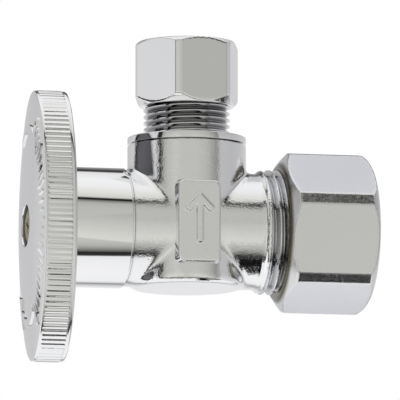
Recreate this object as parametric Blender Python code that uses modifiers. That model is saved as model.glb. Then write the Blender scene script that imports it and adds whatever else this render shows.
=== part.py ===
"""Angle stop valve: quarter-turn ball valve with compression joints for an inlet and an outlet tube.

Units are metres. +X runs out of the inlet, -X to the handle, +Z out of the outlet. The world origin is
the centre of the inlet tube's stop; every piece is measured from the crossing of the two port axes.
"""
import math

import bmesh
import bpy
from mathutils import Matrix, Vector

MM = 0.001

# Clearances
GAP = 0.3 * MM                     # between neighbouring pieces
JOINT_GAP = 0.2 * MM               # visible seams between body, bonnet and adapter
THREAD_GAP = 0.25 * MM             # radial, between male and female threads
O_RING_GAP = 0.08 * MM             # around an O-ring in its groove
TUBE_CLEARANCE = 0.11 * MM         # radial, tube in its socket

# Tubes and compression joints
INLET_TUBE_DIAMETER = 15.875 * MM
INLET_WALL = 2.3825 * MM           # from the tube's surface to the thread's crest
INLET_PITCH = 1.411 * MM
INLET_NUT_WALL = 1.585 * MM        # from the thread's crest to the nut's flats
OUTLET_TUBE_DIAMETER = 9.525 * MM
OUTLET_WALL = 2.3825 * MM
OUTLET_PITCH = 1.058 * MM
OUTLET_NUT_WALL = 0.7925 * MM
THREAD_DEPTH_RATIO = 0.613         # thread depth over pitch

# Ball and seats, measured from the crossing
BALL_RADIUS = 6.4 * MM
PORT_RADIUS = 3.75 * MM
SEAT_BITE = 1.8 * MM               # the seats' inner edges lie this far inside the ball's top
SEAT_HEIGHT = 2.7 * MM
SEAT_RIM = 0.5 * MM                # the seat's radius beyond the ball's
SEAT_LIP_WIDTH = 1.3 * MM          # rebate of the upper seat
SEAT_LIP_HEIGHT = 1.4 * MM
UPPER_SEAT_ROOM = 4.1 * MM         # from the upper seat's inner edge to the adapter
SLOT_WIDTH = 2.3 * MM
SLOT_DEPTH = 1.65 * MM

# Valve body
PLUG_STEP = 0.9 * MM               # the adapter's plug is this much wider than a seat
BARREL_WALL = 1.7 * MM
BARREL_FLOOR = 2.1 * MM
BARREL_RISE = 5.25 * MM            # from the plug's foot to the top of the barrel
BARREL_CORNER = 1.2 * MM
BOSS_LENGTH = 0.7 * MM             # beyond the barrel
BRANCH_RADIUS = 9.6 * MM
BRANCH_LENGTH = 2.9 * MM           # beyond the barrel
NECK_FLARE = 2.1 * MM
INLET_STOP_DEPTH = 3.8 * MM        # from the branch's end to the tube's stop
INLET_MALE_LENGTH = 11.5 * MM
INLET_PASSAGE_RADIUS = 4.0 * MM
GROOVE_DEPTH = 1.0 * MM            # half of the V groove between body and bonnet
PAD_HALF_WIDTH = 4.15 * MM
PAD_BOTTOM = -7.2 * MM
PAD_TOP = 7.7 * MM
PAD_RISE = 0.75 * MM               # beyond the barrel
PAD_CORNER = 1.0 * MM
ARROW_HEIGHT = 0.3 * MM

# Outlet adapter
FLANGE_THICKNESS = 1.15 * MM
OUTLET_STOP_HEIGHT = 4.2 * MM      # from the flange to the tube's stop
OUTLET_MALE_LENGTH = 11.9 * MM

# Stem and bonnet
STEM_STANDOFF = 1.6 * MM           # from the ball to the stem's collar
STEM_RADIUS = 3.6 * MM
STEM_RECESS = 3.5 * MM             # the stem's shoulder lies this deep in the bonnet
DRIVE_LENGTH = 4.1 * MM
COLLAR_RIM = 1.0 * MM
COLLAR_THICKNESS = 1.4 * MM
WASHER_THICKNESS = 0.7 * MM
DRIVE_SQUARE = 4.0 * MM
TANG_HALF_HEIGHT = 2.6 * MM
STEM_RING_SHARES = (0.32, 0.72)    # of the way from the washer's well to the stem's shoulder
SPIGOT_WALL = 2.4 * MM             # beyond the stem's collar
SPIGOT_LENGTH = 2.5 * MM
BOSS_WALL = 2.6 * MM               # beyond the bonnet's spigot
BONNET_STEP = 0.3 * MM             # the bonnet is this much wider than the boss
BONNET_LENGTH = 10.8 * MM
BONNET_NOSE_LENGTH = 1.1 * MM

# O-rings, section radius
STEM_RING_SECTION = 0.55 * MM
SEAT_RING_SECTION = 0.52 * MM
BONNET_RING_SECTION = 0.58 * MM
ADAPTER_RING_SECTION = 0.58 * MM

# Handle
HANDLE_HALF_LENGTH = 22.5 * MM
HANDLE_SIDE_ROOM = 0.4 * MM        # between the bonnet and the inside of the rim
HANDLE_DEPTH = 6.5 * MM
HANDLE_OVERLAP = 0.9 * MM          # the rim reaches this far over the bonnet
CROWN_DROP_LENGTH = 1.1 * MM
CROWN_DROP_WIDTH = 1.2 * MM
HANDLE_WALL = 1.4 * MM
RIM_BEVEL = 0.4 * MM
RIM_LIP = 0.75 * MM
RIB_COUNT = 120
RIB_DEPTH = 0.2 * MM
HUB_WALL = 1.6 * MM                # beyond the stem
HUB_PLAY = 0.7 * MM                # between the hub and the stem's shoulder
WELL_FLOOR_THICKNESS = 1.0 * MM
LUG_LENGTH = 2.0 * MM              # beyond the hub
LUG_HALF_ANGLE = 15.0
QUARTER_TURN = 90.0
STOP_SLACK_ANGLE = 2.0

# Handle screw and its washer
SCREW_HEAD_RADIUS = 3.15 * MM
SCREW_HEAD_HEIGHT = 2.2 * MM
SCREW_HEAD_ROOM = 0.3 * MM
SCREW_SHANK_RADIUS = 1.1 * MM
SCREW_LENGTH = 5.6 * MM
SCREW_SLOT_WIDTH = 0.6 * MM
SCREW_SLOT_DEPTH = 0.8 * MM
LOCK_WASHER_THICKNESS = 0.5 * MM
LOCK_WASHER_STEP = 0.3 * MM        # the washer is this much smaller than the head

# Nuts and ferrules
INLET_NUT_CLEARANCE = 2.3 * MM     # from the branch's end to the nut
INLET_NOSE_DROP = 1.0 * MM         # the nose's radius is this much less than the flats'
INLET_FACE_DROP = 0.6 * MM
INLET_NOSE_CHAMFER = 1.8 * MM
INLET_CHAMFER = 1.7 * MM
INLET_NUT_TILT = 11.0              # degrees, the front flat looks this much downwards
OUTLET_NUT_CLEARANCE = 5.15 * MM   # from the flange to the nut
OUTLET_NOSE_DROP = 0.24 * MM
OUTLET_FACE_DROP = 0.04 * MM
OUTLET_NOSE_CHAMFER = 1.4 * MM
OUTLET_CHAMFER = 0.85 * MM
OUTLET_NUT_TURN = 9.0              # degrees, from a corner on +X
NUT_CORNER_EASE = 0.98             # corners are rounded down to this share of their radius
INLET_FERRULE_WALL = 0.95 * MM
INLET_FERRULE_LENGTH = 4.1 * MM
INLET_FERRULE_SINK = 0.4 * MM      # how far the ferrule sits inside the thread's mouth
INLET_FERRULE_ROOM = 0.45 * MM
INLET_NUT_LIP = 1.85 * MM
OUTLET_FERRULE_WALL = 0.68 * MM
OUTLET_FERRULE_LENGTH = 2.9 * MM
OUTLET_FERRULE_SINK = 0.3 * MM
OUTLET_FERRULE_ROOM = 0.4 * MM
OUTLET_NUT_LIP = 1.1 * MM
FERRULE_TAPER = 1.0 * MM           # length of each end's cone

# Resolution
ROUND = 40
BORE = 28
THREAD_SEGMENTS = 24
SMALL = 20
ARC_STEPS = 3
RING_STEPS = 24
RING_SECTION_STEPS = 8

PARTS = "Angle stop valve"
CUTTERS = "Cutters"

# Ball chamber and barrel, which follow from the ball
SEAT_LAND = BALL_RADIUS - SEAT_BITE
SEAT_RADIUS = BALL_RADIUS + SEAT_RIM
SEAT_LIP_RADIUS = SEAT_RADIUS - SEAT_LIP_WIDTH
CHAMBER_RADIUS = SEAT_RADIUS + GAP
CHAMBER_BOTTOM = -(SEAT_LAND + SEAT_HEIGHT + GAP)
PLUG_RADIUS = SEAT_RADIUS + PLUG_STEP
PLUG_BOTTOM = SEAT_LAND + UPPER_SEAT_ROOM
PLUG_BORE_RADIUS = PLUG_RADIUS + GAP
PLUG_BORE_BOTTOM = PLUG_BOTTOM - GAP
BARREL_RADIUS = PLUG_BORE_RADIUS + BARREL_WALL
BARREL_BOTTOM = CHAMBER_BOTTOM - BARREL_FLOOR
BARREL_TOP = PLUG_BOTTOM + BARREL_RISE
FLANGE_BOTTOM = BARREL_TOP + JOINT_GAP
FLANGE_TOP = FLANGE_BOTTOM + FLANGE_THICKNESS
PAD_FACE = BARREL_RADIUS + PAD_RISE

# Handle side, from the barrel outwards
BOSS_END = -(BARREL_RADIUS + BOSS_LENGTH)
BONNET_FACE = BOSS_END - JOINT_GAP
BONNET_END = BONNET_FACE - BONNET_LENGTH
SPIGOT_END = BONNET_FACE + SPIGOT_LENGTH
COLLAR_FACE = -(BALL_RADIUS + STEM_STANDOFF)
COLLAR_BACK = COLLAR_FACE - COLLAR_THICKNESS
WASHER_FRONT = COLLAR_BACK - JOINT_GAP
COLLAR_WELL = WASHER_FRONT - WASHER_THICKNESS - JOINT_GAP
STEM_SHOULDER = BONNET_END + STEM_RECESS
STEM_RING_PLACES = [COLLAR_WELL + (STEM_SHOULDER - COLLAR_WELL) * share for share in STEM_RING_SHARES]
STEM_END = STEM_SHOULDER - DRIVE_LENGTH
HUB_END = STEM_SHOULDER - HUB_PLAY
HUB_WELL_FLOOR = HUB_END + 2 * GAP
HANDLE_BACK = BONNET_END + HANDLE_OVERLAP
HANDLE_CROWN = HANDLE_BACK - HANDLE_DEPTH
SCREW_WELL_FLOOR = STEM_END - GAP - WELL_FLOOR_THICKNESS
SCREW_HEAD_SEAT = SCREW_WELL_FLOOR - LOCK_WASHER_THICKNESS - JOINT_GAP

# Radii on the handle side, from the stem outwards
STEM_BORE_RADIUS = STEM_RADIUS + GAP
COLLAR_RADIUS = STEM_RADIUS + COLLAR_RIM
SPIGOT_RADIUS = COLLAR_RADIUS + SPIGOT_WALL
SPIGOT_BORE_RADIUS = SPIGOT_RADIUS + GAP
BOSS_RADIUS = SPIGOT_RADIUS + BOSS_WALL
BONNET_RADIUS = BOSS_RADIUS + BONNET_STEP
HUB_RADIUS = STEM_RADIUS + HUB_WALL
HUB_WELL_RADIUS = HUB_RADIUS + GAP
LUG_RADIUS = HUB_RADIUS + LUG_LENGTH
HANDLE_HALF_WIDTH = BONNET_RADIUS + HANDLE_SIDE_ROOM + HANDLE_WALL
SCREW_WELL_RADIUS = SCREW_HEAD_RADIUS + SCREW_HEAD_ROOM
LOCK_WASHER_RADIUS = SCREW_HEAD_RADIUS - LOCK_WASHER_STEP

# Inlet and outlet joints, from the tubes outwards
INLET_SOCKET_RADIUS = INLET_TUBE_DIAMETER / 2 + TUBE_CLEARANCE
INLET_CREST = INLET_TUBE_DIAMETER / 2 + INLET_WALL
INLET_ROOT = INLET_CREST - THREAD_DEPTH_RATIO * INLET_PITCH
INLET_NUT_FLATS = 2 * (INLET_CREST + INLET_NUT_WALL)
BRANCH_END = BARREL_RADIUS + BRANCH_LENGTH
INLET_TUBE_STOP = BRANCH_END + INLET_STOP_DEPTH
INLET_MALE_END = BRANCH_END + INLET_MALE_LENGTH
INLET_FERRULE_START = INLET_MALE_END - INLET_FERRULE_SINK
INLET_NUT_NOSE = BRANCH_END + INLET_NUT_CLEARANCE
INLET_NUT_END = INLET_FERRULE_START + INLET_FERRULE_LENGTH + INLET_FERRULE_ROOM + INLET_NUT_LIP
OUTLET_SOCKET_RADIUS = OUTLET_TUBE_DIAMETER / 2 + TUBE_CLEARANCE
OUTLET_CREST = OUTLET_TUBE_DIAMETER / 2 + OUTLET_WALL
OUTLET_ROOT = OUTLET_CREST - THREAD_DEPTH_RATIO * OUTLET_PITCH
OUTLET_NUT_FLATS = 2 * (OUTLET_CREST + OUTLET_NUT_WALL)
OUTLET_TUBE_STOP = FLANGE_TOP + OUTLET_STOP_HEIGHT
OUTLET_MALE_END = FLANGE_TOP + OUTLET_MALE_LENGTH
OUTLET_FERRULE_START = OUTLET_MALE_END - OUTLET_FERRULE_SINK
OUTLET_NUT_NOSE = FLANGE_TOP + OUTLET_NUT_CLEARANCE
OUTLET_NUT_END = OUTLET_FERRULE_START + OUTLET_FERRULE_LENGTH + OUTLET_FERRULE_ROOM + OUTLET_NUT_LIP


def clear_scene():
    for obj in list(bpy.data.objects):
        bpy.data.objects.remove(obj, do_unlink=True)


def make_collection(name):
    collection = bpy.data.collections.new(name)
    bpy.context.scene.collection.children.link(collection)
    return collection


def make_material(name, colour, metallic, roughness):
    material = bpy.data.materials.new(name)
    material.use_nodes = True
    shader = material.node_tree.nodes["Principled BSDF"]
    shader.inputs["Base Color"].default_value = (*colour, 1.0)
    shader.inputs["Metallic"].default_value = metallic
    shader.inputs["Roughness"].default_value = roughness
    material.diffuse_color = (*colour, 1.0)
    return material


def polished_chrome(name):
    return make_material(name, (0.80, 0.81, 0.83), 1.0, 0.08)


def bare_brass(name):
    return make_material(name, (0.72, 0.55, 0.30), 1.0, 0.30)


def white_plastic(name):
    return make_material(name, (0.88, 0.88, 0.85), 0.0, 0.40)


def black_rubber(name):
    return make_material(name, (0.03, 0.03, 0.03), 0.0, 0.60)


def spring_steel(name):
    return make_material(name, (0.55, 0.56, 0.58), 1.0, 0.30)


def centre_empty():
    """An empty at the crossing of the port axes; every piece hangs from it."""
    centre = bpy.data.objects.new("port_crossing", None)
    centre.location = (-INLET_TUBE_STOP, 0, 0)
    bpy.data.collections[PARTS].objects.link(centre)
    return centre


def add_object(name, mesh, along_x, finish):
    """Link a mesh as a part when it has a finish, or else as a hidden cutter."""
    obj = bpy.data.objects.new(name, mesh)
    obj.parent = bpy.data.objects["port_crossing"]
    if along_x:
        obj.rotation_euler = (0, math.pi / 2, 0)
    if finish is None:
        bpy.data.collections[CUTTERS].objects.link(obj)
        obj.hide_render = True
        obj.display_type = "WIRE"
    else:
        bpy.data.collections[PARTS].objects.link(obj)
        mesh.materials.append(finish(name))
    return obj


def finish_mesh(name, bm):
    mesh = bpy.data.meshes.new(name)
    bm.to_mesh(mesh)
    bm.free()
    mesh.shade_smooth()
    mesh.set_sharp_from_angle(angle=math.radians(30))
    return mesh


def corner_arc(before, corner, after, fillet):
    """Points of the arc that rounds one corner of an outline."""
    to_before = (before - corner).normalized()
    to_after = (after - corner).normalized()
    half = to_before.angle(to_after) / 2
    centre = corner + (to_before + to_after).normalized() * fillet / math.sin(half)
    reach = fillet / math.tan(half)
    first = corner + to_before * reach - centre
    last = corner + to_after * reach - centre
    start = math.atan2(first.y, first.x)
    sweep = math.remainder(math.atan2(last.y, last.x) - start, 2 * math.pi)
    angles = [start + sweep * step / ARC_STEPS for step in range(ARC_STEPS + 1)]
    return [centre + fillet * Vector((math.cos(angle), math.sin(angle))) for angle in angles]


def outline(corners):
    """Corners are (radius, height) or (radius, height, fillet), outer side first, top to bottom."""
    places = [Vector(corner[:2]) for corner in corners]
    points = []
    for index, corner in enumerate(corners):
        if len(corner) == 2:
            points.append(places[index])
        else:
            before = places[index - 1]
            after = places[(index + 1) % len(places)]
            points.extend(corner_arc(before, places[index], after, corner[2]))
    return points


def turned(name, corners, finish=None, along_x=False, steps=ROUND, ring=False):
    """A turned piece: an outline carried round Z, or round X, by a Screw modifier."""
    points = outline(corners)
    last = len(points)
    edges = [(index, index + 1) for index in range(last - 1)]
    if ring:
        edges.append((last - 1, 0))
    mesh = bpy.data.meshes.new(name)
    mesh.from_pydata([(point.x, 0, point.y) for point in points], edges, [])
    obj = add_object(name, mesh, along_x, finish)
    screw = obj.modifiers.new("turn", "SCREW")
    screw.steps = steps
    screw.render_steps = steps
    screw.use_merge_vertices = True
    screw.merge_threshold = 0.00001
    screw.use_normal_calculate = False
    return obj


def rod(radius, low, high):
    """Corners of a plain round bar."""
    return [(0, high), (radius, high), (radius, low), (0, low)]


def o_ring(name, radius, section, place, along_x):
    """A torus whose centre circle has the given radius."""
    bpy.ops.mesh.primitive_torus_add(
        major_radius=radius, minor_radius=section, major_segments=RING_STEPS,
        minor_segments=RING_SECTION_STEPS)
    made = bpy.context.object
    mesh = made.data
    mesh.name = name
    bpy.data.objects.remove(made)
    mesh.shade_smooth()
    ring = add_object(name, mesh, along_x, black_rubber)
    ring.location = (place, 0, 0) if along_x else (0, 0, place)
    return ring


def block(name, low, high, finish=None, bevel=0.0):
    """A box between two corners, with optional rounded edges."""
    bm = bmesh.new()
    bmesh.ops.create_cube(bm, size=1)
    size = Vector(high) - Vector(low)
    bmesh.ops.scale(bm, vec=size, verts=bm.verts)
    obj = add_object(name, finish_mesh(name, bm), False, finish)
    obj.location = (Vector(low) + Vector(high)) / 2
    if bevel:
        rounding = obj.modifiers.new("corners", "BEVEL")
        rounding.width = bevel
        rounding.segments = 3
    return obj


def prism(name, points, low, high, along_x):
    """A flat outline carried from one height to another."""
    bm = bmesh.new()
    face = bm.faces.new([bm.verts.new((x, y, low)) for x, y in points])
    raised = bmesh.ops.extrude_face_region(bm, geom=[face])["geom"]
    verts = [item for item in raised if isinstance(item, bmesh.types.BMVert)]
    bmesh.ops.translate(bm, verts=verts, vec=(0, 0, high - low))
    bmesh.ops.recalc_face_normals(bm, faces=bm.faces)
    return add_object(name, finish_mesh(name, bm), along_x, None)


def sector(name, inner, outer, start, end, low, high):
    """A block between two radii and two angles round X."""
    steps = max(4, round(abs(end - start) / 10))
    angles = [math.radians(start + (end - start) * step / steps) for step in range(steps + 1)]
    points = [(outer * math.cos(angle), outer * math.sin(angle)) for angle in angles]
    points += [(inner * math.cos(angle), inner * math.sin(angle)) for angle in reversed(angles)]
    return prism(name, points, low, high, True)


def thread_rod(name, root, crest, pitch, low, high, along_x):
    """A right-hand threaded bar: a V profile wound in a helix, closed at both ends."""
    bm = bmesh.new()
    rows = 2 * math.ceil((high - low) / pitch) + 2
    grid = []
    for row in range(rows + 1):
        radius = crest if row % 2 else root
        line = []
        for step in range(THREAD_SEGMENTS):
            angle = 2 * math.pi * step / THREAD_SEGMENTS
            height = low + pitch * (row / 2 - 1 + step / THREAD_SEGMENTS)
            line.append(bm.verts.new((radius * math.cos(angle), radius * math.sin(angle), height)))
        grid.append(line)
    last = THREAD_SEGMENTS - 1
    for row in range(rows):
        for step in range(last):
            bm.faces.new((grid[row][step], grid[row][step + 1], grid[row + 1][step + 1],
                          grid[row + 1][step]))
        if row + 3 <= rows:
            bm.faces.new((grid[row][last], grid[row + 2][0], grid[row + 3][0], grid[row + 1][last]))
    bottom = bm.verts.new((0, 0, low - pitch))
    top = bm.verts.new((0, 0, low + pitch * (rows / 2)))
    lower = grid[0] + [grid[2][0], grid[1][0]]
    upper = grid[rows] + [grid[rows - 1][last], grid[rows - 2][last]]
    for first, second in zip(lower, lower[1:] + lower[:1]):
        bm.faces.new((first, bottom, second))
    for first, second in zip(upper, upper[1:] + upper[:1]):
        bm.faces.new((second, top, first))
    bmesh.ops.recalc_face_normals(bm, faces=bm.faces)
    return add_object(name, finish_mesh(name, bm), along_x, None)


def combine(obj, operation, other):
    step = obj.modifiers.new(f"{operation.lower()} {other.name}", "BOOLEAN")
    step.operation = operation
    step.object = other
    step.solver = "EXACT"


def male_thread(name, root, crest, pitch, low, high, along_x):
    """A threaded stub whose free end is chamfered to the thread's root."""
    stub = thread_rod(name, root, crest, pitch, low, high, along_x)
    ease = crest - root
    edge = crest + GAP
    trim = turned(f"{name}_trim", [(0, high), (root, high), (edge, high - ease - GAP), (edge, low), (0, low)],
                  along_x=along_x)
    combine(stub, "INTERSECT", trim)
    return stub


def body_shell():
    """The vertical barrel, closed and rounded at the bottom."""
    return turned("valve_body", [
        (0, BARREL_TOP),
        (BARREL_RADIUS, BARREL_TOP),
        (BARREL_RADIUS, BARREL_BOTTOM, BARREL_CORNER),
        (0, BARREL_BOTTOM)], finish=polished_chrome)


def body_branch():
    """The horizontal branch: grooved boss on the handle side, flared stub on the inlet side."""
    return turned("body_branch", [
        (0, BRANCH_END + GAP),
        (INLET_CREST, BRANCH_END + GAP),
        (INLET_CREST, BRANCH_END),
        (BRANCH_RADIUS, BRANCH_END - NECK_FLARE),
        (BRANCH_RADIUS, 1.0 * MM),
        (BOSS_RADIUS, -1.0 * MM),
        (BOSS_RADIUS, BOSS_END + GROOVE_DEPTH * 0.7),
        (BOSS_RADIUS - GROOVE_DEPTH, BOSS_END),
        (0, BOSS_END)], along_x=True)


def body_pad():
    """The raised flat on the front, and a plain flow arrow on it that points to the outlet."""
    pad = block("front_pad", (-PAD_HALF_WIDTH, -PAD_FACE, PAD_BOTTOM), (PAD_HALF_WIDTH, 0, PAD_TOP),
                bevel=PAD_CORNER * 0.5)
    half_shaft = 0.75 * MM
    half_head = 2.2 * MM
    tail = -4.8 * MM
    neck = 1.6 * MM
    tip = 5.0 * MM
    points = [(-half_shaft, tail), (half_shaft, tail), (half_shaft, neck), (half_head, neck), (0, tip),
              (-half_head, neck), (-half_shaft, neck)]
    arrow = prism("flow_arrow", points, 0, PAD_FACE + ARROW_HEIGHT, False)
    arrow.rotation_euler = (math.pi / 2, 0, 0)
    return pad, arrow


def body_cavities():
    """The ball chamber with the adapter's bore above it, and the ports along X."""
    chamber = turned("ball_chamber", [
        (0, BARREL_TOP + GAP),
        (PLUG_BORE_RADIUS, BARREL_TOP + GAP),
        (PLUG_BORE_RADIUS, PLUG_BORE_BOTTOM),
        (CHAMBER_RADIUS, PLUG_BORE_BOTTOM),
        (CHAMBER_RADIUS, CHAMBER_BOTTOM),
        (0, CHAMBER_BOTTOM)], steps=BORE)
    mouth = (INLET_ROOT - INLET_SOCKET_RADIUS) * 0.68
    inlet = turned("inlet_port", [
        (0, INLET_MALE_END + GAP),
        (INLET_SOCKET_RADIUS + mouth + GAP, INLET_MALE_END + GAP),
        (INLET_SOCKET_RADIUS, INLET_MALE_END - mouth),
        (INLET_SOCKET_RADIUS, INLET_TUBE_STOP),
        (INLET_PASSAGE_RADIUS, INLET_TUBE_STOP),
        (INLET_PASSAGE_RADIUS, 0),
        (0, 0)], along_x=True, steps=BORE)
    bonnet = turned("bonnet_port", rod(SPIGOT_BORE_RADIUS, BOSS_END - GAP, -BALL_RADIUS + GAP),
                    along_x=True, steps=BORE)
    return chamber, inlet, bonnet


def valve_body():
    body = body_shell()
    combine(body, "UNION", body_branch())
    pad, arrow = body_pad()
    combine(body, "UNION", pad)
    combine(body, "UNION", arrow)
    combine(body, "UNION", male_thread("inlet_male_thread", INLET_ROOT, INLET_CREST, INLET_PITCH,
                                       BRANCH_END, INLET_MALE_END, True))
    for cavity in body_cavities():
        combine(body, "DIFFERENCE", cavity)


def ring_groove(section):
    """Width of the groove that takes an O-ring."""
    return 2 * (section + O_RING_GAP)


def outlet_adapter():
    """Flanged plug that closes the barrel and carries the outlet's male thread."""
    groove_top = FLANGE_BOTTOM - 0.5 * MM
    groove_width = ring_groove(ADAPTER_RING_SECTION)
    groove_floor = PLUG_BORE_RADIUS - groove_width
    adapter = turned("outlet_adapter", [
        (0, FLANGE_TOP),
        (BARREL_RADIUS, FLANGE_TOP, 0.2 * MM),
        (BARREL_RADIUS, FLANGE_BOTTOM, 0.2 * MM),
        (PLUG_RADIUS, FLANGE_BOTTOM),
        (PLUG_RADIUS, groove_top),
        (groove_floor, groove_top),
        (groove_floor, groove_top - groove_width),
        (PLUG_RADIUS, groove_top - groove_width),
        (PLUG_RADIUS, PLUG_BOTTOM),
        (0, PLUG_BOTTOM)], finish=polished_chrome)
    combine(adapter, "UNION", male_thread("outlet_male_thread", OUTLET_ROOT, OUTLET_CREST, OUTLET_PITCH,
                                          FLANGE_TOP - GAP, OUTLET_MALE_END, False))
    mouth = (OUTLET_ROOT - OUTLET_SOCKET_RADIUS) * 0.54
    bore = turned("outlet_port", [
        (0, OUTLET_MALE_END + GAP),
        (OUTLET_SOCKET_RADIUS + mouth + GAP, OUTLET_MALE_END + GAP),
        (OUTLET_SOCKET_RADIUS, OUTLET_MALE_END - mouth),
        (OUTLET_SOCKET_RADIUS, OUTLET_TUBE_STOP),
        (PORT_RADIUS, OUTLET_TUBE_STOP),
        (PORT_RADIUS, PLUG_BOTTOM - GAP),
        (0, PLUG_BOTTOM - GAP)], steps=BORE)
    combine(adapter, "DIFFERENCE", bore)
    o_ring("adapter_seal", groove_floor + O_RING_GAP + ADAPTER_RING_SECTION, ADAPTER_RING_SECTION,
           groove_top - groove_width / 2, False)


def ball():
    """Plated ball: one port towards the inlet, one to the outlet, and a slot for the stem's tang."""
    bm = bmesh.new()
    bmesh.ops.create_uvsphere(bm, u_segments=BORE, v_segments=BORE // 2, radius=BALL_RADIUS)
    sphere = add_object("ball", finish_mesh("ball", bm), True, polished_chrome)
    along = turned("ball_inlet_port", rod(PORT_RADIUS, -0.7 * PORT_RADIUS, BALL_RADIUS + GAP),
                   along_x=True, steps=BORE)
    up = turned("ball_outlet_port", rod(PORT_RADIUS - 0.05 * MM, 0, BALL_RADIUS + GAP), steps=BORE)
    slot = block("ball_slot", (-BALL_RADIUS - GAP, -SLOT_WIDTH / 2, -BALL_RADIUS),
                 (-BALL_RADIUS + SLOT_DEPTH, SLOT_WIDTH / 2, BALL_RADIUS))
    for cutter in (along, up, slot):
        combine(sphere, "DIFFERENCE", cutter)


def seat_cup(side):
    """Points of the seat's hollow face, from the bore's edge outwards."""
    reach = BALL_RADIUS + JOINT_GAP
    outer = math.sqrt(reach ** 2 - SEAT_LAND ** 2)
    radii = [PORT_RADIUS + (outer - PORT_RADIUS) * step / 4 for step in range(5)]
    return [(radius, side * math.sqrt(reach ** 2 - radius ** 2)) for radius in radii]


def seats():
    """The two seats that hold the ball; the upper one has a rebate for its back-up O-ring."""
    bottom = -(SEAT_LAND + SEAT_HEIGHT)
    turned("lower_seat", [
        (SEAT_RADIUS, -SEAT_LAND),
        (SEAT_RADIUS, bottom),
        (PORT_RADIUS, bottom)] + seat_cup(-1), finish=white_plastic, steps=BORE, ring=True)
    lip_top = PLUG_BOTTOM - GAP
    rebate = lip_top - SEAT_LIP_HEIGHT
    turned("upper_seat", [
        (PORT_RADIUS, lip_top),
        (SEAT_LIP_RADIUS, lip_top),
        (SEAT_LIP_RADIUS, rebate),
        (SEAT_RADIUS, rebate),
        (SEAT_RADIUS, SEAT_LAND)] + seat_cup(1)[::-1], finish=white_plastic, steps=BORE, ring=True)
    middle = (SEAT_LIP_RADIUS + CHAMBER_RADIUS) / 2
    o_ring("seat_seal", middle, SEAT_RING_SECTION, rebate + SEAT_LIP_HEIGHT / 2, False)


def bonnet():
    """Round sleeve on the handle side: carries the stem, its thrust washer and the turn stops."""
    groove_width = ring_groove(BONNET_RING_SECTION)
    groove_floor = SPIGOT_BORE_RADIUS - groove_width
    groove_top = SPIGOT_END - 0.6 * MM
    sleeve = turned("bonnet", [
        (COLLAR_RADIUS + GAP, SPIGOT_END),
        (SPIGOT_RADIUS, SPIGOT_END),
        (SPIGOT_RADIUS, groove_top),
        (groove_floor, groove_top),
        (groove_floor, groove_top - groove_width),
        (SPIGOT_RADIUS, groove_top - groove_width),
        (SPIGOT_RADIUS, BONNET_FACE),
        (BONNET_RADIUS - GROOVE_DEPTH, BONNET_FACE),
        (BONNET_RADIUS, BONNET_FACE - GROOVE_DEPTH * 0.7),
        (BONNET_RADIUS, BONNET_END + BONNET_NOSE_LENGTH),
        (BONNET_RADIUS - 0.6 * MM, BONNET_END),
        (HUB_WELL_RADIUS, BONNET_END),
        (HUB_WELL_RADIUS, HUB_WELL_FLOOR),
        (STEM_BORE_RADIUS, HUB_WELL_FLOOR),
        (STEM_BORE_RADIUS, COLLAR_WELL),
        (COLLAR_RADIUS + GAP, COLLAR_WELL)], finish=polished_chrome, along_x=True, ring=True)
    slack = LUG_HALF_ANGLE + STOP_SLACK_ANGLE
    pocket = sector("stop_pocket", HUB_WELL_RADIUS - GAP, LUG_RADIUS + GAP, -slack, QUARTER_TURN + slack,
                    BONNET_END - GAP, HUB_WELL_FLOOR - JOINT_GAP)
    combine(sleeve, "DIFFERENCE", pocket)
    o_ring("bonnet_seal", groove_floor + O_RING_GAP + BONNET_RING_SECTION, BONNET_RING_SECTION,
           groove_top - groove_width / 2, True)


def stem():
    """Brass stem: tang in the ball's slot, collar under the bonnet, two O-ring grooves, square drive."""
    groove_width = ring_groove(STEM_RING_SECTION)
    groove_floor = STEM_BORE_RADIUS - groove_width
    corners = [(0, COLLAR_FACE), (COLLAR_RADIUS, COLLAR_FACE), (COLLAR_RADIUS, COLLAR_BACK),
               (STEM_RADIUS, COLLAR_BACK)]
    for place in STEM_RING_PLACES:
        front = place + groove_width / 2
        back = place - groove_width / 2
        corners += [(STEM_RADIUS, front), (groove_floor, front), (groove_floor, back), (STEM_RADIUS, back)]
    corners += [(STEM_RADIUS, STEM_SHOULDER), (0, STEM_SHOULDER)]
    shaft = turned("stem", corners, finish=bare_brass, along_x=True, steps=BORE)
    tang_end = -BALL_RADIUS + SLOT_DEPTH - GAP
    tang_half = SLOT_WIDTH / 2 - GAP
    tang = block("stem_tang", (COLLAR_FACE - GAP, -tang_half, -TANG_HALF_HEIGHT),
                 (tang_end, tang_half, TANG_HALF_HEIGHT))
    half = DRIVE_SQUARE / 2
    drive = block("stem_drive", (STEM_END, -half, -half), (STEM_SHOULDER + GAP, half, half))
    tapped = turned("stem_tapped_hole", rod(SCREW_SHANK_RADIUS + JOINT_GAP, STEM_END - GAP,
                                            SCREW_HEAD_SEAT + SCREW_LENGTH + GAP), along_x=True, steps=SMALL)
    combine(shaft, "UNION", tang)
    combine(shaft, "UNION", drive)
    combine(shaft, "DIFFERENCE", tapped)
    for name, place in zip(("stem_o_ring_inner", "stem_o_ring_outer"), STEM_RING_PLACES):
        o_ring(name, groove_floor + O_RING_GAP + STEM_RING_SECTION, STEM_RING_SECTION, place, True)


def thrust_washer():
    inner = STEM_RADIUS + GAP
    back = WASHER_FRONT - WASHER_THICKNESS
    turned("thrust_washer", [(inner, WASHER_FRONT), (COLLAR_RADIUS, WASHER_FRONT), (COLLAR_RADIUS, back),
                             (inner, back)], finish=white_plastic, along_x=True, steps=BORE, ring=True)


def oval(half_length, half_width, count, place, dip=0.0):
    """One closed section of the handle; each second point is dipped to make the ribs."""
    points = []
    for index in range(count):
        angle = 2 * math.pi * index / count
        inset = dip * (index % 2)
        x = (half_length - inset) * math.cos(angle)
        y = (half_width - inset) * math.sin(angle)
        drop = place(angle) if callable(place) else place
        points.append((x, y, drop))
    return points


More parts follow.
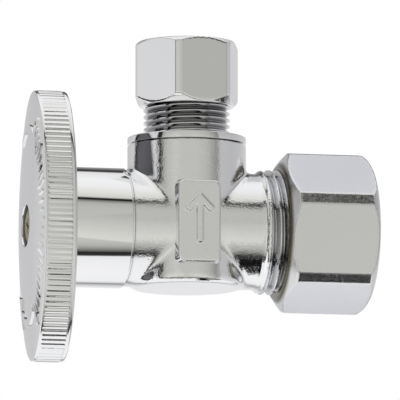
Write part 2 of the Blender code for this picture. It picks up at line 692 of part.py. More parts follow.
def square(half, count, place):
    """A square section with as many points as the round sections next to it."""
    points = []
    for index in range(count):
        angle = 2 * math.pi * index / count
        reach = half / max(abs(math.cos(angle)), abs(math.sin(angle)))
        points.append((reach * math.cos(angle), reach * math.sin(angle), place))
    return points


def crown(share, offset=0.0):
    """Height of the crowned face at a share of the way from its centre to its edge."""
    def place(angle):
        drop = CROWN_DROP_LENGTH * math.cos(angle) ** 2 + CROWN_DROP_WIDTH * math.sin(angle) ** 2
        return HANDLE_CROWN + offset + drop * share ** 2
    return place


def join_rings(bm, first, second):
    """Skin between two closed rings, where the second may have a whole number of points per first's."""
    many = len(second) // len(first)
    if many == 0:
        join_rings(bm, second, first)
        return
    for index, vert in enumerate(first):
        following = first[(index + 1) % len(first)]
        span = [second[(index * many + step) % len(second)] for step in range(many, -1, -1)]
        bm.faces.new([vert, following] + span)


def handle():
    """Oval lever knob: crowned face, ribbed rim, hollow back, and a hub on the stem's square."""
    coarse = RIB_COUNT // 2
    fine = RIB_COUNT * 2
    long = HANDLE_HALF_LENGTH
    wide = HANDLE_HALF_WIDTH
    inner_long = long - HANDLE_WALL
    inner_wide = wide - HANDLE_WALL
    face_long = long - RIM_BEVEL
    face_wide = wide - RIM_BEVEL
    socket = DRIVE_SQUARE / 2 + JOINT_GAP
    socket_floor = STEM_END - GAP
    shank_hole = SCREW_SHANK_RADIUS + JOINT_GAP
    sections = [oval(SCREW_WELL_RADIUS, SCREW_WELL_RADIUS, coarse, HANDLE_CROWN)]
    for share in (0.4, 0.7, 1.0):
        sections.append(oval(SCREW_WELL_RADIUS + (face_long - SCREW_WELL_RADIUS) * share,
                             SCREW_WELL_RADIUS + (face_wide - SCREW_WELL_RADIUS) * share,
                             coarse, crown(share)))
    sections += [
        oval(long, wide, fine, crown(1.0, RIM_BEVEL), dip=RIB_DEPTH),
        oval(long, wide, fine, HANDLE_BACK - RIM_LIP, dip=RIB_DEPTH),
        oval(long - RIB_DEPTH, wide - RIB_DEPTH, coarse, HANDLE_BACK),
        oval(inner_long, inner_wide, coarse, HANDLE_BACK),
        oval(inner_long - 0.3 * MM, inner_wide - 0.3 * MM, coarse, crown(1.0, HANDLE_WALL)),
        oval(HUB_RADIUS, HUB_RADIUS, coarse, HANDLE_CROWN + HANDLE_WALL),
        oval(HUB_RADIUS, HUB_RADIUS, coarse, HUB_END),
        square(socket, coarse, HUB_END),
        square(socket, coarse, socket_floor),
        oval(shank_hole, shank_hole, coarse, socket_floor),
        oval(shank_hole, shank_hole, coarse, SCREW_WELL_FLOOR),
        oval(SCREW_WELL_RADIUS, SCREW_WELL_RADIUS, coarse, SCREW_WELL_FLOOR)]
    bm = bmesh.new()
    rings = [[bm.verts.new(point) for point in section] for section in sections]
    for first, second in zip(rings, rings[1:] + rings[:1]):
        join_rings(bm, first, second)
    bmesh.ops.recalc_face_normals(bm, faces=bm.faces)
    knob = add_object("handle", finish_mesh("handle", bm), True, polished_chrome)
    lug = sector("stop_lug", HUB_RADIUS - GAP, LUG_RADIUS, -LUG_HALF_ANGLE, LUG_HALF_ANGLE,
                 BONNET_END + GAP, HUB_END - GAP)
    combine(knob, "UNION", lug)


def handle_screw():
    """Pan-head screw in the handle's well, cross-slotted, with its spring washer."""
    top = SCREW_HEAD_SEAT - SCREW_HEAD_HEIGHT
    screw = turned("handle_screw", [
        (0, SCREW_HEAD_SEAT + SCREW_LENGTH),
        (SCREW_SHANK_RADIUS, SCREW_HEAD_SEAT + SCREW_LENGTH, 0.3 * MM),
        (SCREW_SHANK_RADIUS, SCREW_HEAD_SEAT),
        (SCREW_HEAD_RADIUS, SCREW_HEAD_SEAT),
        (SCREW_HEAD_RADIUS, top, 0.6 * MM),
        (0, top)], finish=bare_brass, along_x=True, steps=SMALL)
    reach = 0.62 * SCREW_HEAD_RADIUS
    thin = SCREW_SLOT_WIDTH / 2
    for name, half_y, half_z in (("cross_slot_level", reach, thin), ("cross_slot_upright", thin, reach)):
        slot = block(name, (top - GAP, -half_y, -half_z), (top + SCREW_SLOT_DEPTH, half_y, half_z))
        combine(screw, "DIFFERENCE", slot)
    inner = SCREW_SHANK_RADIUS + JOINT_GAP
    back = SCREW_WELL_FLOOR - JOINT_GAP / 2
    front = back - LOCK_WASHER_THICKNESS
    turned("screw_lock_washer", [(inner, back), (LOCK_WASHER_RADIUS, back), (LOCK_WASHER_RADIUS, front),
                                 (inner, front)], finish=spring_steel, along_x=True, steps=SMALL, ring=True)


def hex_bar(name, flats, low, high, flat_angle, along_x):
    """A hexagonal bar, one of whose flats faces the given angle."""
    bm = bmesh.new()
    radius = flats / math.sqrt(3)
    bmesh.ops.create_cone(bm, cap_ends=True, segments=6, radius1=radius, radius2=radius, depth=high - low)
    bmesh.ops.translate(bm, verts=bm.verts, vec=(0, 0, (low + high) / 2))
    bmesh.ops.rotate(bm, verts=bm.verts, cent=(0, 0, 0), matrix=Matrix.Rotation(flat_angle, 3, "Z"))
    return add_object(name, finish_mesh(name, bm), along_x, polished_chrome)


def compression_nut(name, flats, flat_angle, along_x, nose, end, nose_drop, nose_chamfer, face_drop, chamfer,
                    root, crest, pitch, male_start, male_end, ferrule, lip, socket_radius):
    """Hexagonal nut: both ends chamfered, threaded inside, with a cone that closes on the ferrule."""
    corner = flats / math.sqrt(3) * NUT_CORNER_EASE
    nose_radius = flats / 2 - nose_drop
    face_radius = flats / 2 - face_drop
    nut = hex_bar(name, flats, nose, end, flat_angle, along_x)
    envelope = turned(f"{name}_envelope", [
        (0, end + GAP),
        (face_radius - GAP * (corner - face_radius) / chamfer, end + GAP),
        (corner, end - chamfer),
        (corner, nose + nose_chamfer),
        (nose_radius - GAP * (corner - nose_radius) / nose_chamfer, nose - GAP),
        (0, nose - GAP)], along_x=along_x)
    thread = thread_rod(f"{name}_thread", root + THREAD_GAP, crest + THREAD_GAP, pitch, male_start,
                        male_end, along_x)
    cavity = ferrule + 0.35 * MM
    cone_end = end - lip
    relief_start = male_end + 0.5 * MM
    thread_trim = turned(f"{name}_thread_trim", rod(crest + 2 * THREAD_GAP, nose - 2 * GAP, relief_start),
                         along_x=along_x)
    combine(thread, "INTERSECT", thread_trim)
    seat = turned(f"{name}_seat", [
        (0, end + GAP),
        (socket_radius, end + GAP),
        (socket_radius, cone_end),
        (cavity, cone_end - (cavity - socket_radius)),
        (cavity, relief_start + 1.0 * MM),
        (crest + THREAD_GAP, relief_start + 0.4 * MM),
        (crest + THREAD_GAP, relief_start - 0.6 * MM),
        (0, relief_start - 0.6 * MM)], along_x=along_x, steps=BORE)
    combine(nut, "INTERSECT", envelope)
    combine(nut, "DIFFERENCE", thread)
    combine(nut, "DIFFERENCE", seat)


def ferrule_ring(name, inner, wall, start, length, along_x):
    """Brass compression ring with a cone at each end."""
    outer = inner + wall
    edge = inner + 0.35 * wall
    end = start + length
    turned(name, [
        (inner, end),
        (edge, end),
        (outer, end - FERRULE_TAPER),
        (outer, start + FERRULE_TAPER * 0.8),
        (edge, start),
        (inner, start)], finish=bare_brass, along_x=along_x, steps=BORE, ring=True)


def inlet_joint():
    inner = INLET_SOCKET_RADIUS - 0.02 * MM
    outer = inner + INLET_FERRULE_WALL
    compression_nut("inlet_nut", INLET_NUT_FLATS, math.radians(INLET_NUT_TILT - 90), True, INLET_NUT_NOSE,
                    INLET_NUT_END, INLET_NOSE_DROP, INLET_NOSE_CHAMFER, INLET_FACE_DROP, INLET_CHAMFER,
                    INLET_ROOT, INLET_CREST, INLET_PITCH, BRANCH_END, INLET_MALE_END, outer, INLET_NUT_LIP,
                    INLET_SOCKET_RADIUS + 0.1 * MM)
    ferrule_ring("inlet_ferrule", inner, INLET_FERRULE_WALL, INLET_FERRULE_START, INLET_FERRULE_LENGTH, True)


def outlet_joint():
    inner = OUTLET_SOCKET_RADIUS - 0.02 * MM
    outer = inner + OUTLET_FERRULE_WALL
    compression_nut("outlet_nut", OUTLET_NUT_FLATS, math.radians(OUTLET_NUT_TURN + 30), False, OUTLET_NUT_NOSE,
                    OUTLET_NUT_END, OUTLET_NOSE_DROP, OUTLET_NOSE_CHAMFER, OUTLET_FACE_DROP, OUTLET_CHAMFER,
                    OUTLET_ROOT, OUTLET_CREST, OUTLET_PITCH, FLANGE_TOP - GAP, OUTLET_MALE_END, outer,
                    OUTLET_NUT_LIP, OUTLET_SOCKET_RADIUS + 0.1 * MM)
    ferrule_ring("outlet_ferrule", inner, OUTLET_FERRULE_WALL, OUTLET_FERRULE_START, OUTLET_FERRULE_LENGTH,
                 False)


clear_scene()
make_collection(PARTS)
make_collection(CUTTERS)
centre_empty()
valve_body()
outlet_adapter()
ball()
seats()
bonnet()
stem()
thrust_washer()
handle()
handle_screw()
inlet_joint()
outlet_joint()
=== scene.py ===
import math

import bmesh
import bpy
from mathutils import Matrix, Vector


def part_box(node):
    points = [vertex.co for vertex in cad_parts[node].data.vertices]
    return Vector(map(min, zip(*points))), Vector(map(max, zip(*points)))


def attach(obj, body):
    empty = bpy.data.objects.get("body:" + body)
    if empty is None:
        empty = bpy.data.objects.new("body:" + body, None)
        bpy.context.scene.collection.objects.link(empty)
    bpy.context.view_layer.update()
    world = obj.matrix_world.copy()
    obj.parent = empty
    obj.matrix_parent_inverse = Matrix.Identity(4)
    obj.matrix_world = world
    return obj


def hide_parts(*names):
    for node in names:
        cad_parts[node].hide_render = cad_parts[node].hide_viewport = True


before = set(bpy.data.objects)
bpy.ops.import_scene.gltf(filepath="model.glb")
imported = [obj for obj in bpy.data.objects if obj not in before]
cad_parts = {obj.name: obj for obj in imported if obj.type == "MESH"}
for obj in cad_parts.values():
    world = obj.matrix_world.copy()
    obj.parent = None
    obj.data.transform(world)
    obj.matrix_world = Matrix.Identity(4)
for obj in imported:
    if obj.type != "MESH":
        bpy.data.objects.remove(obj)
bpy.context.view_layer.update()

# Valve body: one brass forging with an upright barrel, a short boss for the bonnet and a branch for the
# inlet. The rough shape is forged, so its corners are soft; ports and thread are machined afterwards, and
# the whole is polished and chrome plated.
MM = 0.001
BODY_BARREL = (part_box("outlet_adapter")[1].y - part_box("outlet_adapter")[0].y) / 2
CROSSING = Vector(((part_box("outlet_nut")[0].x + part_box("outlet_nut")[1].x) / 2, 0, 0))
BODY_TOP = 13.95 * MM
BODY_BOTTOM = -9.75 * MM
BODY_BOSS = 9.6 * MM
BODY_BOSS_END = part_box("valve_body")[0].x - CROSSING.x
BODY_BRANCH = 9.6 * MM
BODY_BRANCH_END = 12.4 * MM
BODY_VOXEL = 0.24 * MM
BODY_MALE_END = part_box("valve_body")[1].x - CROSSING.x
INLET_CREST = 10.32 * MM
INLET_ROOT = 9.46 * MM
INLET_PITCH = 1.411 * MM
INLET_SOCKET = 8.05 * MM
INLET_STOP = -CROSSING.x
PAD_HALF_WIDTH = 4.25 * MM
PAD_DRAFT = 0.75 * MM
PAD_LOW = -7.2 * MM
PAD_HIGH = 7.7 * MM
PAD_FACE = 10.5 * MM
PAD_DEPTH = 3 * MM


def rounded(corners):
    """Outline of (radius, height) corners; a third number rounds that corner with an arc."""
    steps = 5
    places = [Vector(corner[:2]) for corner in corners]
    points = []
    for index, corner in enumerate(corners):
        here = places[index]
        if len(corner) == 2:
            points.append(here)
            continue
        before = (places[index - 1] - here).normalized()
        after = (places[(index + 1) % len(places)] - here).normalized()
        half = before.angle(after) / 2
        centre = here + (before + after).normalized() * corner[2] / math.sin(half)
        first = here + before * corner[2] / math.tan(half) - centre
        last = here + after * corner[2] / math.tan(half) - centre
        start = math.atan2(first.y, first.x)
        sweep = math.remainder(math.atan2(last.y, last.x) - start, 2 * math.pi)
        for step in range(steps + 1):
            angle = start + sweep * step / steps
            points.append(centre + corner[2] * Vector((math.cos(angle), math.sin(angle))))
    return points


def to_place(bm, along):
    """Turn a mesh made round Z onto the port axis it belongs to."""
    if along == "X":
        bmesh.ops.rotate(bm, verts=bm.verts, cent=(0, 0, 0), matrix=Matrix.Rotation(math.pi / 2, 3, "Y"))
    bmesh.ops.translate(bm, verts=bm.verts, vec=CROSSING)


def smooth(obj, sharp=32):
    """Shade a piece smooth but for the edges that turn more than an angle in degrees."""
    obj.data.shade_smooth()
    obj.data.set_sharp_from_angle(angle=math.radians(sharp))
    return obj


def linked(name, bm, sharp=32):
    """Hand a finished bmesh over to an object at the origin."""
    mesh = bpy.data.meshes.new(name)
    bm.to_mesh(mesh)
    bm.free()
    obj = bpy.data.objects.new(name, mesh)
    bpy.context.scene.collection.objects.link(obj)
    return smooth(obj, sharp)


def lathe(name, corners, along, closed=False, segments=160):
    """Turn an outline round its axis, as the lathe does."""
    bm = bmesh.new()
    verts = [bm.verts.new((point.x, 0, point.y)) for point in rounded(corners)]
    pairs = list(zip(verts, verts[1:]))
    if closed:
        pairs.append((verts[-1], verts[0]))
    edges = [bm.edges.new(pair) for pair in pairs]
    bmesh.ops.spin(bm, geom=verts + edges, cent=(0, 0, 0), axis=(0, 0, 1), dvec=(0, 0, 0),
                   angle=2 * math.pi, steps=segments, use_merge=True, use_duplicate=False)
    bmesh.ops.remove_doubles(bm, verts=bm.verts, dist=1e-7)
    bmesh.ops.recalc_face_normals(bm, faces=bm.faces)
    to_place(bm, along)
    return linked(name, bm)


def screw_thread(name, root, crest, pitch, low, high, along, segments=96, crest_flat=0.14):
    """Right-hand thread: a zigzag spun once round while it climbs one pitch, closed at both ends."""
    bm = bmesh.new()
    rise = (1 - crest_flat) / 2 - 0.06
    shape = [(root, 0.0), (root, 0.12), (crest - 0.06 * pitch, 0.12 + rise * 0.93),
             (crest, 0.12 + rise * 1.02), (crest, 0.12 + rise * 0.98 + crest_flat),
             (crest - 0.06 * pitch, 0.12 + rise * 1.07 + crest_flat)]
    turns = math.ceil((high - low) / pitch) + 3
    verts = []
    for turn in range(turns):
        verts += [bm.verts.new((radius, 0, low + pitch * (turn - 1 + share))) for radius, share in shape]
    edges = [bm.edges.new(pair) for pair in zip(verts, verts[1:])]
    bmesh.ops.spin(bm, geom=verts + edges, cent=(0, 0, 0), axis=(0, 0, 1),
                   dvec=(0, 0, pitch / segments), angle=2 * math.pi, steps=segments, use_merge=False)
    bmesh.ops.remove_doubles(bm, verts=bm.verts, dist=2e-6)
    rims = [edge for edge in bm.edges if edge.is_boundary]
    ends = bmesh.ops.holes_fill(bm, edges=rims, sides=0)["faces"]
    bmesh.ops.poke(bm, faces=ends)
    bmesh.ops.recalc_face_normals(bm, faces=bm.faces)
    to_place(bm, along)
    return linked(name, bm)


def machine(obj, *steps, solver="MANIFOLD"):
    """Cut, join or trim a piece with tools that are then put away."""
    for operation, tool in steps:
        change = obj.modifiers.new(operation, "BOOLEAN")
        change.operation = operation
        change.object = tool
        change.solver = solver
    depsgraph = bpy.context.evaluated_depsgraph_get()
    mesh = bpy.data.meshes.new_from_object(obj.evaluated_get(depsgraph))
    obj.modifiers.clear()
    obj.data = mesh
    for operation, tool in steps:
        bpy.data.objects.remove(tool, do_unlink=True)


def relax(bm, verts, passes):
    """Let vertices drift towards their neighbours, as buffing rounds a corner."""
    for number in range(passes):
        bmesh.ops.smooth_vert(bm, verts=verts, factor=0.5, use_axis_x=True, use_axis_y=True, use_axis_z=True)


def round_off(bm, geom, offset, segments, affect="EDGES"):
    """Bevel edges or corners by an offset."""
    bmesh.ops.bevel(bm, geom=geom, offset=offset, offset_type="OFFSET", segments=segments, profile=0.5,
                    affect=affect, material=-1)


def thicken(bm, faces, step):
    """Extrude flat faces by a step."""
    grown = bmesh.ops.extrude_face_region(bm, geom=faces)["geom"]
    far = [item for item in grown if isinstance(item, bmesh.types.BMVert)]
    bmesh.ops.translate(bm, verts=far, vec=step)


def soften(obj, voxel, passes):
    """Turn crisp forms into one even skin whose corners and meetings are rounded, as plating leaves them."""
    remesh = obj.modifiers.new("skin", "REMESH")
    remesh.mode = "VOXEL"
    remesh.voxel_size = voxel
    machine(obj)
    bm = bmesh.new()
    bm.from_mesh(obj.data)
    relax(bm, bm.verts, passes)
    bm.to_mesh(obj.data)
    bm.free()
    obj.data.shade_smooth()


def meeting(point):
    """How near a point of the body is to where the barrel and the branch meet, from 0 to 1."""
    place = point - CROSSING
    from_barrel = abs(math.hypot(place.x, place.y) - BODY_BARREL)
    from_branch = abs(math.hypot(place.y, place.z) - BODY_BRANCH)
    return max(0.0, 1 - max(from_barrel, from_branch) / (1.2 * MM))


valve_body = lathe("valve_body_skin", [
    (0, BODY_TOP + 1.0 * MM), (BODY_BARREL, BODY_TOP + 1.0 * MM),
    (BODY_BARREL, BODY_BOTTOM, 1.2 * MM), (0, BODY_BOTTOM)], "Z")
boss_and_branch = lathe("boss_and_branch", [
    (0, BODY_BRANCH_END), (INLET_CREST - 0.25 * MM, BODY_BRANCH_END),
    (INLET_CREST, BODY_BRANCH_END - 0.35 * MM, 0.3 * MM), (BODY_BRANCH, BODY_BRANCH_END - 0.9 * MM, 0.6 * MM),
    (BODY_BRANCH, 1.0 * MM), (BODY_BOSS, -1.0 * MM), (BODY_BOSS, BODY_BOSS_END - 0.5 * MM),
    (0, BODY_BOSS_END - 0.5 * MM)], "X")
machine(valve_body, ("UNION", boss_and_branch), solver="EXACT")
soften(valve_body, BODY_VOXEL, 3)
bm = bmesh.new()
bm.from_mesh(valve_body.data)
junction = [vert for vert in bm.verts if meeting(vert.co) > 0]
relax(bm, junction, 16)
bm.to_mesh(valve_body.data)
bm.free()

bm = bmesh.new()
pad_size = Vector((2 * PAD_HALF_WIDTH, PAD_DEPTH, PAD_HIGH - PAD_LOW))
bmesh.ops.create_cube(bm, size=1)
bmesh.ops.scale(bm, vec=pad_size, verts=bm.verts)
middle = CROSSING + Vector((0, 0, (PAD_HIGH + PAD_LOW) / 2))
bmesh.ops.translate(bm, verts=bm.verts, vec=middle + Vector((0, PAD_DEPTH / 2 - PAD_FACE, 0)))
for vert in bm.verts:
    if vert.co.y < -9 * MM:
        vert.co.x -= math.copysign(PAD_DRAFT, vert.co.x - middle.x)
        vert.co.z -= math.copysign(PAD_DRAFT, vert.co.z - middle.z)
upright = [edge for edge in bm.edges if abs((edge.verts[0].co - edge.verts[1].co).y) > 1 * MM]
round_off(bm, upright, 1.1 * MM, 6)
front = [face for face in bm.faces if face.normal.y < -0.9]
rim = list({edge for face in front for edge in face.edges})
round_off(bm, rim, 0.22 * MM, 4)
pad = linked("pad", bm)
bm = bmesh.new()
arrow_outline = [(0, 4.7), (-2.45, 2.2), (-1.75, 1.5), (-0.5, 2.8), (-0.5, -3.5), (0.5, -3.5), (0.5, 2.8),
                 (1.75, 1.5), (2.45, 2.2)]
bm.faces.new([bm.verts.new((x * MM, 0, z * MM)) for x, z in arrow_outline])
round_off(bm, list(bm.verts), 0.28 * MM, 4, affect="VERTICES")
thicken(bm, list(bm.faces), (0, -1.0 * MM, 0))
bmesh.ops.recalc_face_normals(bm, faces=bm.faces)
bmesh.ops.translate(bm, verts=bm.verts, vec=CROSSING + Vector((0, 0.55 * MM - PAD_FACE, 0.2 * MM)))
arrow = linked("arrow", bm)
machine(pad, ("UNION", arrow))
soften(pad, 0.085 * MM, 4)
thread = screw_thread("inlet_thread", INLET_ROOT, INLET_CREST, INLET_PITCH, 11.9 * MM, BODY_MALE_END, "X")
thread_trim = lathe("thread_trim", [
    (0, BODY_MALE_END), (INLET_ROOT, BODY_MALE_END), (INLET_CREST + 0.1 * MM, BODY_MALE_END - 0.9 * MM),
    (INLET_CREST + 0.1 * MM, 12.6 * MM), (INLET_ROOT - 0.2 * MM, 12.2 * MM), (0, 12.2 * MM)], "X")
machine(thread, ("INTERSECT", thread_trim))
flush_top = lathe("flush_top", [
    (0, BODY_TOP + 3 * MM), (BODY_BARREL + 1 * MM, BODY_TOP + 3 * MM),
    (BODY_BARREL + 1 * MM, BODY_TOP - 0.15 * MM), (BODY_BARREL, BODY_TOP - 0.15 * MM),
    (BODY_BARREL - 0.15 * MM, BODY_TOP), (0, BODY_TOP)], "Z")
boss_face = lathe("boss_face", [
    (BODY_BOSS + 1 * MM, BODY_BOSS_END + 0.25 * MM), (BODY_BOSS + 1 * MM, BODY_BOSS_END - 2 * MM),
    (0, BODY_BOSS_END - 2 * MM), (0, BODY_BOSS_END), (BODY_BOSS - 0.25 * MM, BODY_BOSS_END),
    (BODY_BOSS + 0.06 * MM, BODY_BOSS_END + 0.25 * MM, 0.1 * MM)], "X", closed=True)
chamber = lathe("chamber", [(0, BODY_TOP + 2 * MM), (8.1 * MM, BODY_TOP + 2 * MM), (8.1 * MM, 8.4 * MM),
                            (7.2 * MM, 8.4 * MM), (7.2 * MM, -7.6 * MM), (0, -7.6 * MM)], "Z", segments=96)
inlet_port = lathe("inlet_port", [
    (0, BODY_MALE_END + 1 * MM), (9.9 * MM, BODY_MALE_END + 1 * MM),
    (INLET_SOCKET, BODY_MALE_END - 0.95 * MM), (INLET_SOCKET, INLET_STOP), (4.0 * MM, INLET_STOP),
    (4.0 * MM, 0), (0, 0)], "X", segments=96)
bonnet_port = lathe("bonnet_port", [(0, -6.1 * MM), (7.3 * MM, -6.1 * MM), (7.3 * MM, BODY_BOSS_END - 1 * MM),
                                    (0, BODY_BOSS_END - 1 * MM)], "X", segments=96)
machine(valve_body, ("UNION", pad), ("UNION", thread), ("DIFFERENCE", flush_top),
        ("DIFFERENCE", boss_face), ("DIFFERENCE", chamber), ("DIFFERENCE", inlet_port),
        ("DIFFERENCE", bonnet_port))
smooth(valve_body)
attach(valve_body, "valve")
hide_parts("valve_body")


def effect_group(name, takes, gives):
    """Empty node group with named sockets; gives the group, its inlet node and its outlet node."""
    group = bpy.data.node_groups.new(name, "ShaderNodeTree")
    for side, sockets in (("INPUT", takes), ("OUTPUT", gives)):
        for label, kind in sockets.items():
            group.interface.new_socket(name=label, in_out=side, socket_type=f"NodeSocket{kind}")
    return group, group.nodes.new("NodeGroupInput"), group.nodes.new("NodeGroupOutput")


def maths(tree, operation, *values):
    """Maths node fed with numbers or with other nodes' sockets."""
    node = tree.nodes.new("ShaderNodeMath")
    node.operation = operation
    for socket, value in zip(node.inputs, values):
        if isinstance(value, (int, float)):
            socket.default_value = value
        else:
            tree.links.new(value, socket)
    return node.outputs["Value"]


def noise(tree, vector, scale, detail):
    """Noise over a vector, at a scale that another node gives."""
    node = tree.nodes.new("ShaderNodeTexNoise")
    node.inputs["Detail"].default_value = detail
    tree.links.new(vector, node.inputs["Vector"])
    tree.links.new(scale, node.inputs["Scale"])
    return node.outputs["Fac"]


def plating_group():
    """Chrome plate: the ripple of the metal under it, a faint haze and the odd pit."""
    group, given, result = effect_group(
        "chrome plating",
        {"Ripple Size": "Float", "Ripple Height": "Float", "Fine Size": "Float", "Fine Height": "Float",
         "Haze": "Float", "Vector": "Vector", "Tint": "Color"},
        {"Colour": "Color", "Roughness": "Float", "Height": "Float"})
    take = given.outputs

    def patches(size, detail):
        return noise(group, take["Vector"], maths(group, "DIVIDE", 1.0, size), detail)

    ripple = maths(group, "MULTIPLY", patches(take["Ripple Size"], 2.0), take["Ripple Height"])
    fine = maths(group, "MULTIPLY", patches(take["Fine Size"], 3.0), take["Fine Height"])
    cloud = patches(maths(group, "MULTIPLY", take["Ripple Size"], 6.0), 4.0)
    haze = maths(group, "MULTIPLY", cloud, take["Haze"])
    group.links.new(maths(group, "ADD", ripple, fine), result.inputs["Height"])
    group.links.new(maths(group, "ADD", haze, 0.015), result.inputs["Roughness"])
    shade = group.nodes.new("ShaderNodeMix")
    shade.data_type = "RGBA"
    shade.blend_type = "MULTIPLY"
    shade.inputs["B"].default_value = (0.93, 0.935, 0.95, 1)
    group.links.new(take["Tint"], shade.inputs["A"])
    group.links.new(cloud, shade.inputs["Factor"])
    group.links.new(shade.outputs["Result"], result.inputs["Colour"])
    return group


def groove_shade_mask_group():
    """Mask of painted shade for the bottoms of grooves turned round a centre line, between two heights along
    it, stronger towards the higher one.
    """
    group, given, result = effect_group(
        "painted groove shade",
        {"Vector": "Vector", "Centre": "Vector", "Across": "Vector", "Along": "Vector",
         "Root": "Float", "Crest": "Float", "Low": "Float", "High": "Float"},
        {"Mask": "Float"})
    take = given.outputs

    def vectors(operation, *values):
        node = group.nodes.new("ShaderNodeVectorMath")
        node.operation = operation
        for socket, value in zip(node.inputs, values):
            group.links.new(value, socket)
        return node.outputs

    def rise(value, start, end, floor):
        node = group.nodes.new("ShaderNodeMapRange")
        node.inputs["To Min"].default_value = floor
        group.links.new(value, node.inputs["Value"])
        group.links.new(start, node.inputs["From Min"])
        group.links.new(end, node.inputs["From Max"])
        return node.outputs["Result"]

    centred = vectors("SUBTRACT", take["Vector"], take["Centre"])["Vector"]
    radius = vectors("LENGTH", vectors("MULTIPLY", centred, take["Across"])["Vector"])["Value"]
    height = vectors("DOT_PRODUCT", centred, take["Along"])["Value"]
    depth = rise(radius, take["Crest"], take["Root"], 0.0)
    edge = rise(height, take["Low"], maths(group, "ADD", take["Low"], 0.3 * MM), 0.0)
    reach = rise(height, take["Low"], take["High"], 0.55)
    between = maths(group, "MULTIPLY", edge, reach)
    group.links.new(maths(group, "MULTIPLY", depth, between), result.inputs["Mask"])
    return group


plating = plating_group()
groove_shade_mask = groove_shade_mask_group()


def effect(material, group, values):
    """Place a node group in a material, on Object coordinates."""
    tree = material.node_tree
    node = tree.nodes.new("ShaderNodeGroup")
    node.node_tree = group
    for label, value in values.items():
        node.inputs[label].default_value = value
    place = tree.nodes.new("ShaderNodeTexCoord")
    tree.links.new(place.outputs["Object"], node.inputs["Vector"])
    return node


def metal(name, group, values, metallic=1.0):
    """New material with a node group in it, on Object coordinates, with values of its own."""
    material = bpy.data.materials.new(name)
    material.use_nodes = True
    material.node_tree.nodes["Principled BSDF"].inputs["Metallic"].default_value = metallic
    return material, effect(material, group, values)


def relief(material, height, distance):
    """Feed a height to the shader's normal."""
    tree = material.node_tree
    bump = tree.nodes.new("ShaderNodeBump")
    bump.inputs["Distance"].default_value = distance
    bump.inputs["Strength"].default_value = 1.0
    tree.links.new(height, bump.inputs["Height"])
    tree.links.new(bump.outputs["Normal"], tree.nodes["Principled BSDF"].inputs["Normal"])


def overlay(material, socket, mask, value):
    """Mix a value over what already feeds a socket of the shader."""
    tree = material.node_tree
    target = tree.nodes["Principled BSDF"].inputs[socket]
    under = target.links[0].from_socket
    mixed = tree.nodes.new("ShaderNodeMix")
    mixed.data_type = "RGBA"
    mixed.inputs["B"].default_value = (*value, 1)
    tree.links.new(mask, mixed.inputs["Factor"])
    tree.links.new(under, mixed.inputs["A"])
    tree.links.new(mixed.outputs["Result"], target)


def chrome(name, ripple_size, ripple_height, fine_size, fine_height, haze, tint=(0.93, 0.93, 0.935)):
    """A plated finish; sizes and heights are in metres."""
    material, finish = metal(name, plating, {
        "Ripple Size": ripple_size, "Ripple Height": ripple_height, "Fine Size": fine_size,
        "Fine Height": fine_height, "Haze": haze, "Tint": (*tint, 1)})
    tree = material.node_tree
    shader = tree.nodes["Principled BSDF"]
    tree.links.new(finish.outputs["Colour"], shader.inputs["Base Color"])
    tree.links.new(finish.outputs["Roughness"], shader.inputs["Roughness"])
    relief(material, finish.outputs["Height"], 1.0)
    return material


def paint_groove_shade(material, along, root, crest, low, high, stain_and_shade):
    """Paint shade into the bottoms of a thread's grooves, more of it towards the high end."""
    mask = effect(material, groove_shade_mask, {
        "Centre": CROSSING, "Across": (1, 1, 0) if along == "Z" else (0, 1, 1),
        "Along": (0, 0, 1) if along == "Z" else (1, 0, 0),
        "Root": root, "Crest": crest, "Low": low, "High": high})
    overlay(material, "Base Color", mask.outputs["Mask"], stain_and_shade)


def dress(obj, material):
    """Give a piece one material."""
    obj.data.materials.clear()
    obj.data.materials.append(material)


forged_chrome = chrome("forged_chrome", ripple_size=1.8 * MM, ripple_height=0.030 * MM,
                       fine_size=0.30 * MM, fine_height=0.022 * MM, haze=0.03)
# Painted shade in the grooves of the inlet thread, darker towards its end inside the inlet nut.
paint_groove_shade(forged_chrome, along="X", root=INLET_ROOT, crest=INLET_CREST + 0.3 * MM,
                low=12.3 * MM, high=BODY_MALE_END, stain_and_shade=(0.22, 0.23, 0.25))
dress(valve_body, forged_chrome)

# Outlet adapter: a turned brass plug with a thin flange, screwed into the top of the barrel until the
# flange closes on it. Its upper end is the outlet's male thread, and the tube's socket is bored in it.
FLANGE_LOW = 14.15 * MM
FLANGE_HIGH = 15.3 * MM
OUTLET_CREST = 7.145 * MM
OUTLET_ROOT = 6.5 * MM
OUTLET_PITCH = 1.058 * MM
OUTLET_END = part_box("outlet_adapter")[1].z
OUTLET_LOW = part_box("outlet_adapter")[0].z
outlet_adapter = lathe("outlet_adapter_turned", [
    (0, 15.9 * MM), (OUTLET_ROOT - 0.1 * MM, 15.9 * MM), (OUTLET_ROOT - 0.1 * MM, FLANGE_HIGH),
    (BODY_BARREL, FLANGE_HIGH, 0.18 * MM), (BODY_BARREL, FLANGE_LOW, 0.12 * MM), (7.8 * MM, FLANGE_LOW),
    (7.8 * MM, 13.6 * MM), (6.8 * MM, 13.6 * MM), (6.8 * MM, 12.3 * MM), (7.8 * MM, 12.3 * MM),
    (7.8 * MM, OUTLET_LOW), (0, OUTLET_LOW)], "Z")
outlet_thread = screw_thread("outlet_thread", OUTLET_ROOT, OUTLET_CREST, OUTLET_PITCH,
                             FLANGE_HIGH + 0.25 * OUTLET_PITCH, OUTLET_END, "Z")
outlet_trim = lathe("outlet_trim", [
    (0, OUTLET_END), (OUTLET_ROOT, OUTLET_END), (OUTLET_CREST + 0.1 * MM, OUTLET_END - 0.75 * MM),
    (OUTLET_CREST + 0.1 * MM, FLANGE_HIGH - 0.1 * MM), (0, FLANGE_HIGH - 0.1 * MM)], "Z")
machine(outlet_thread, ("INTERSECT", outlet_trim))
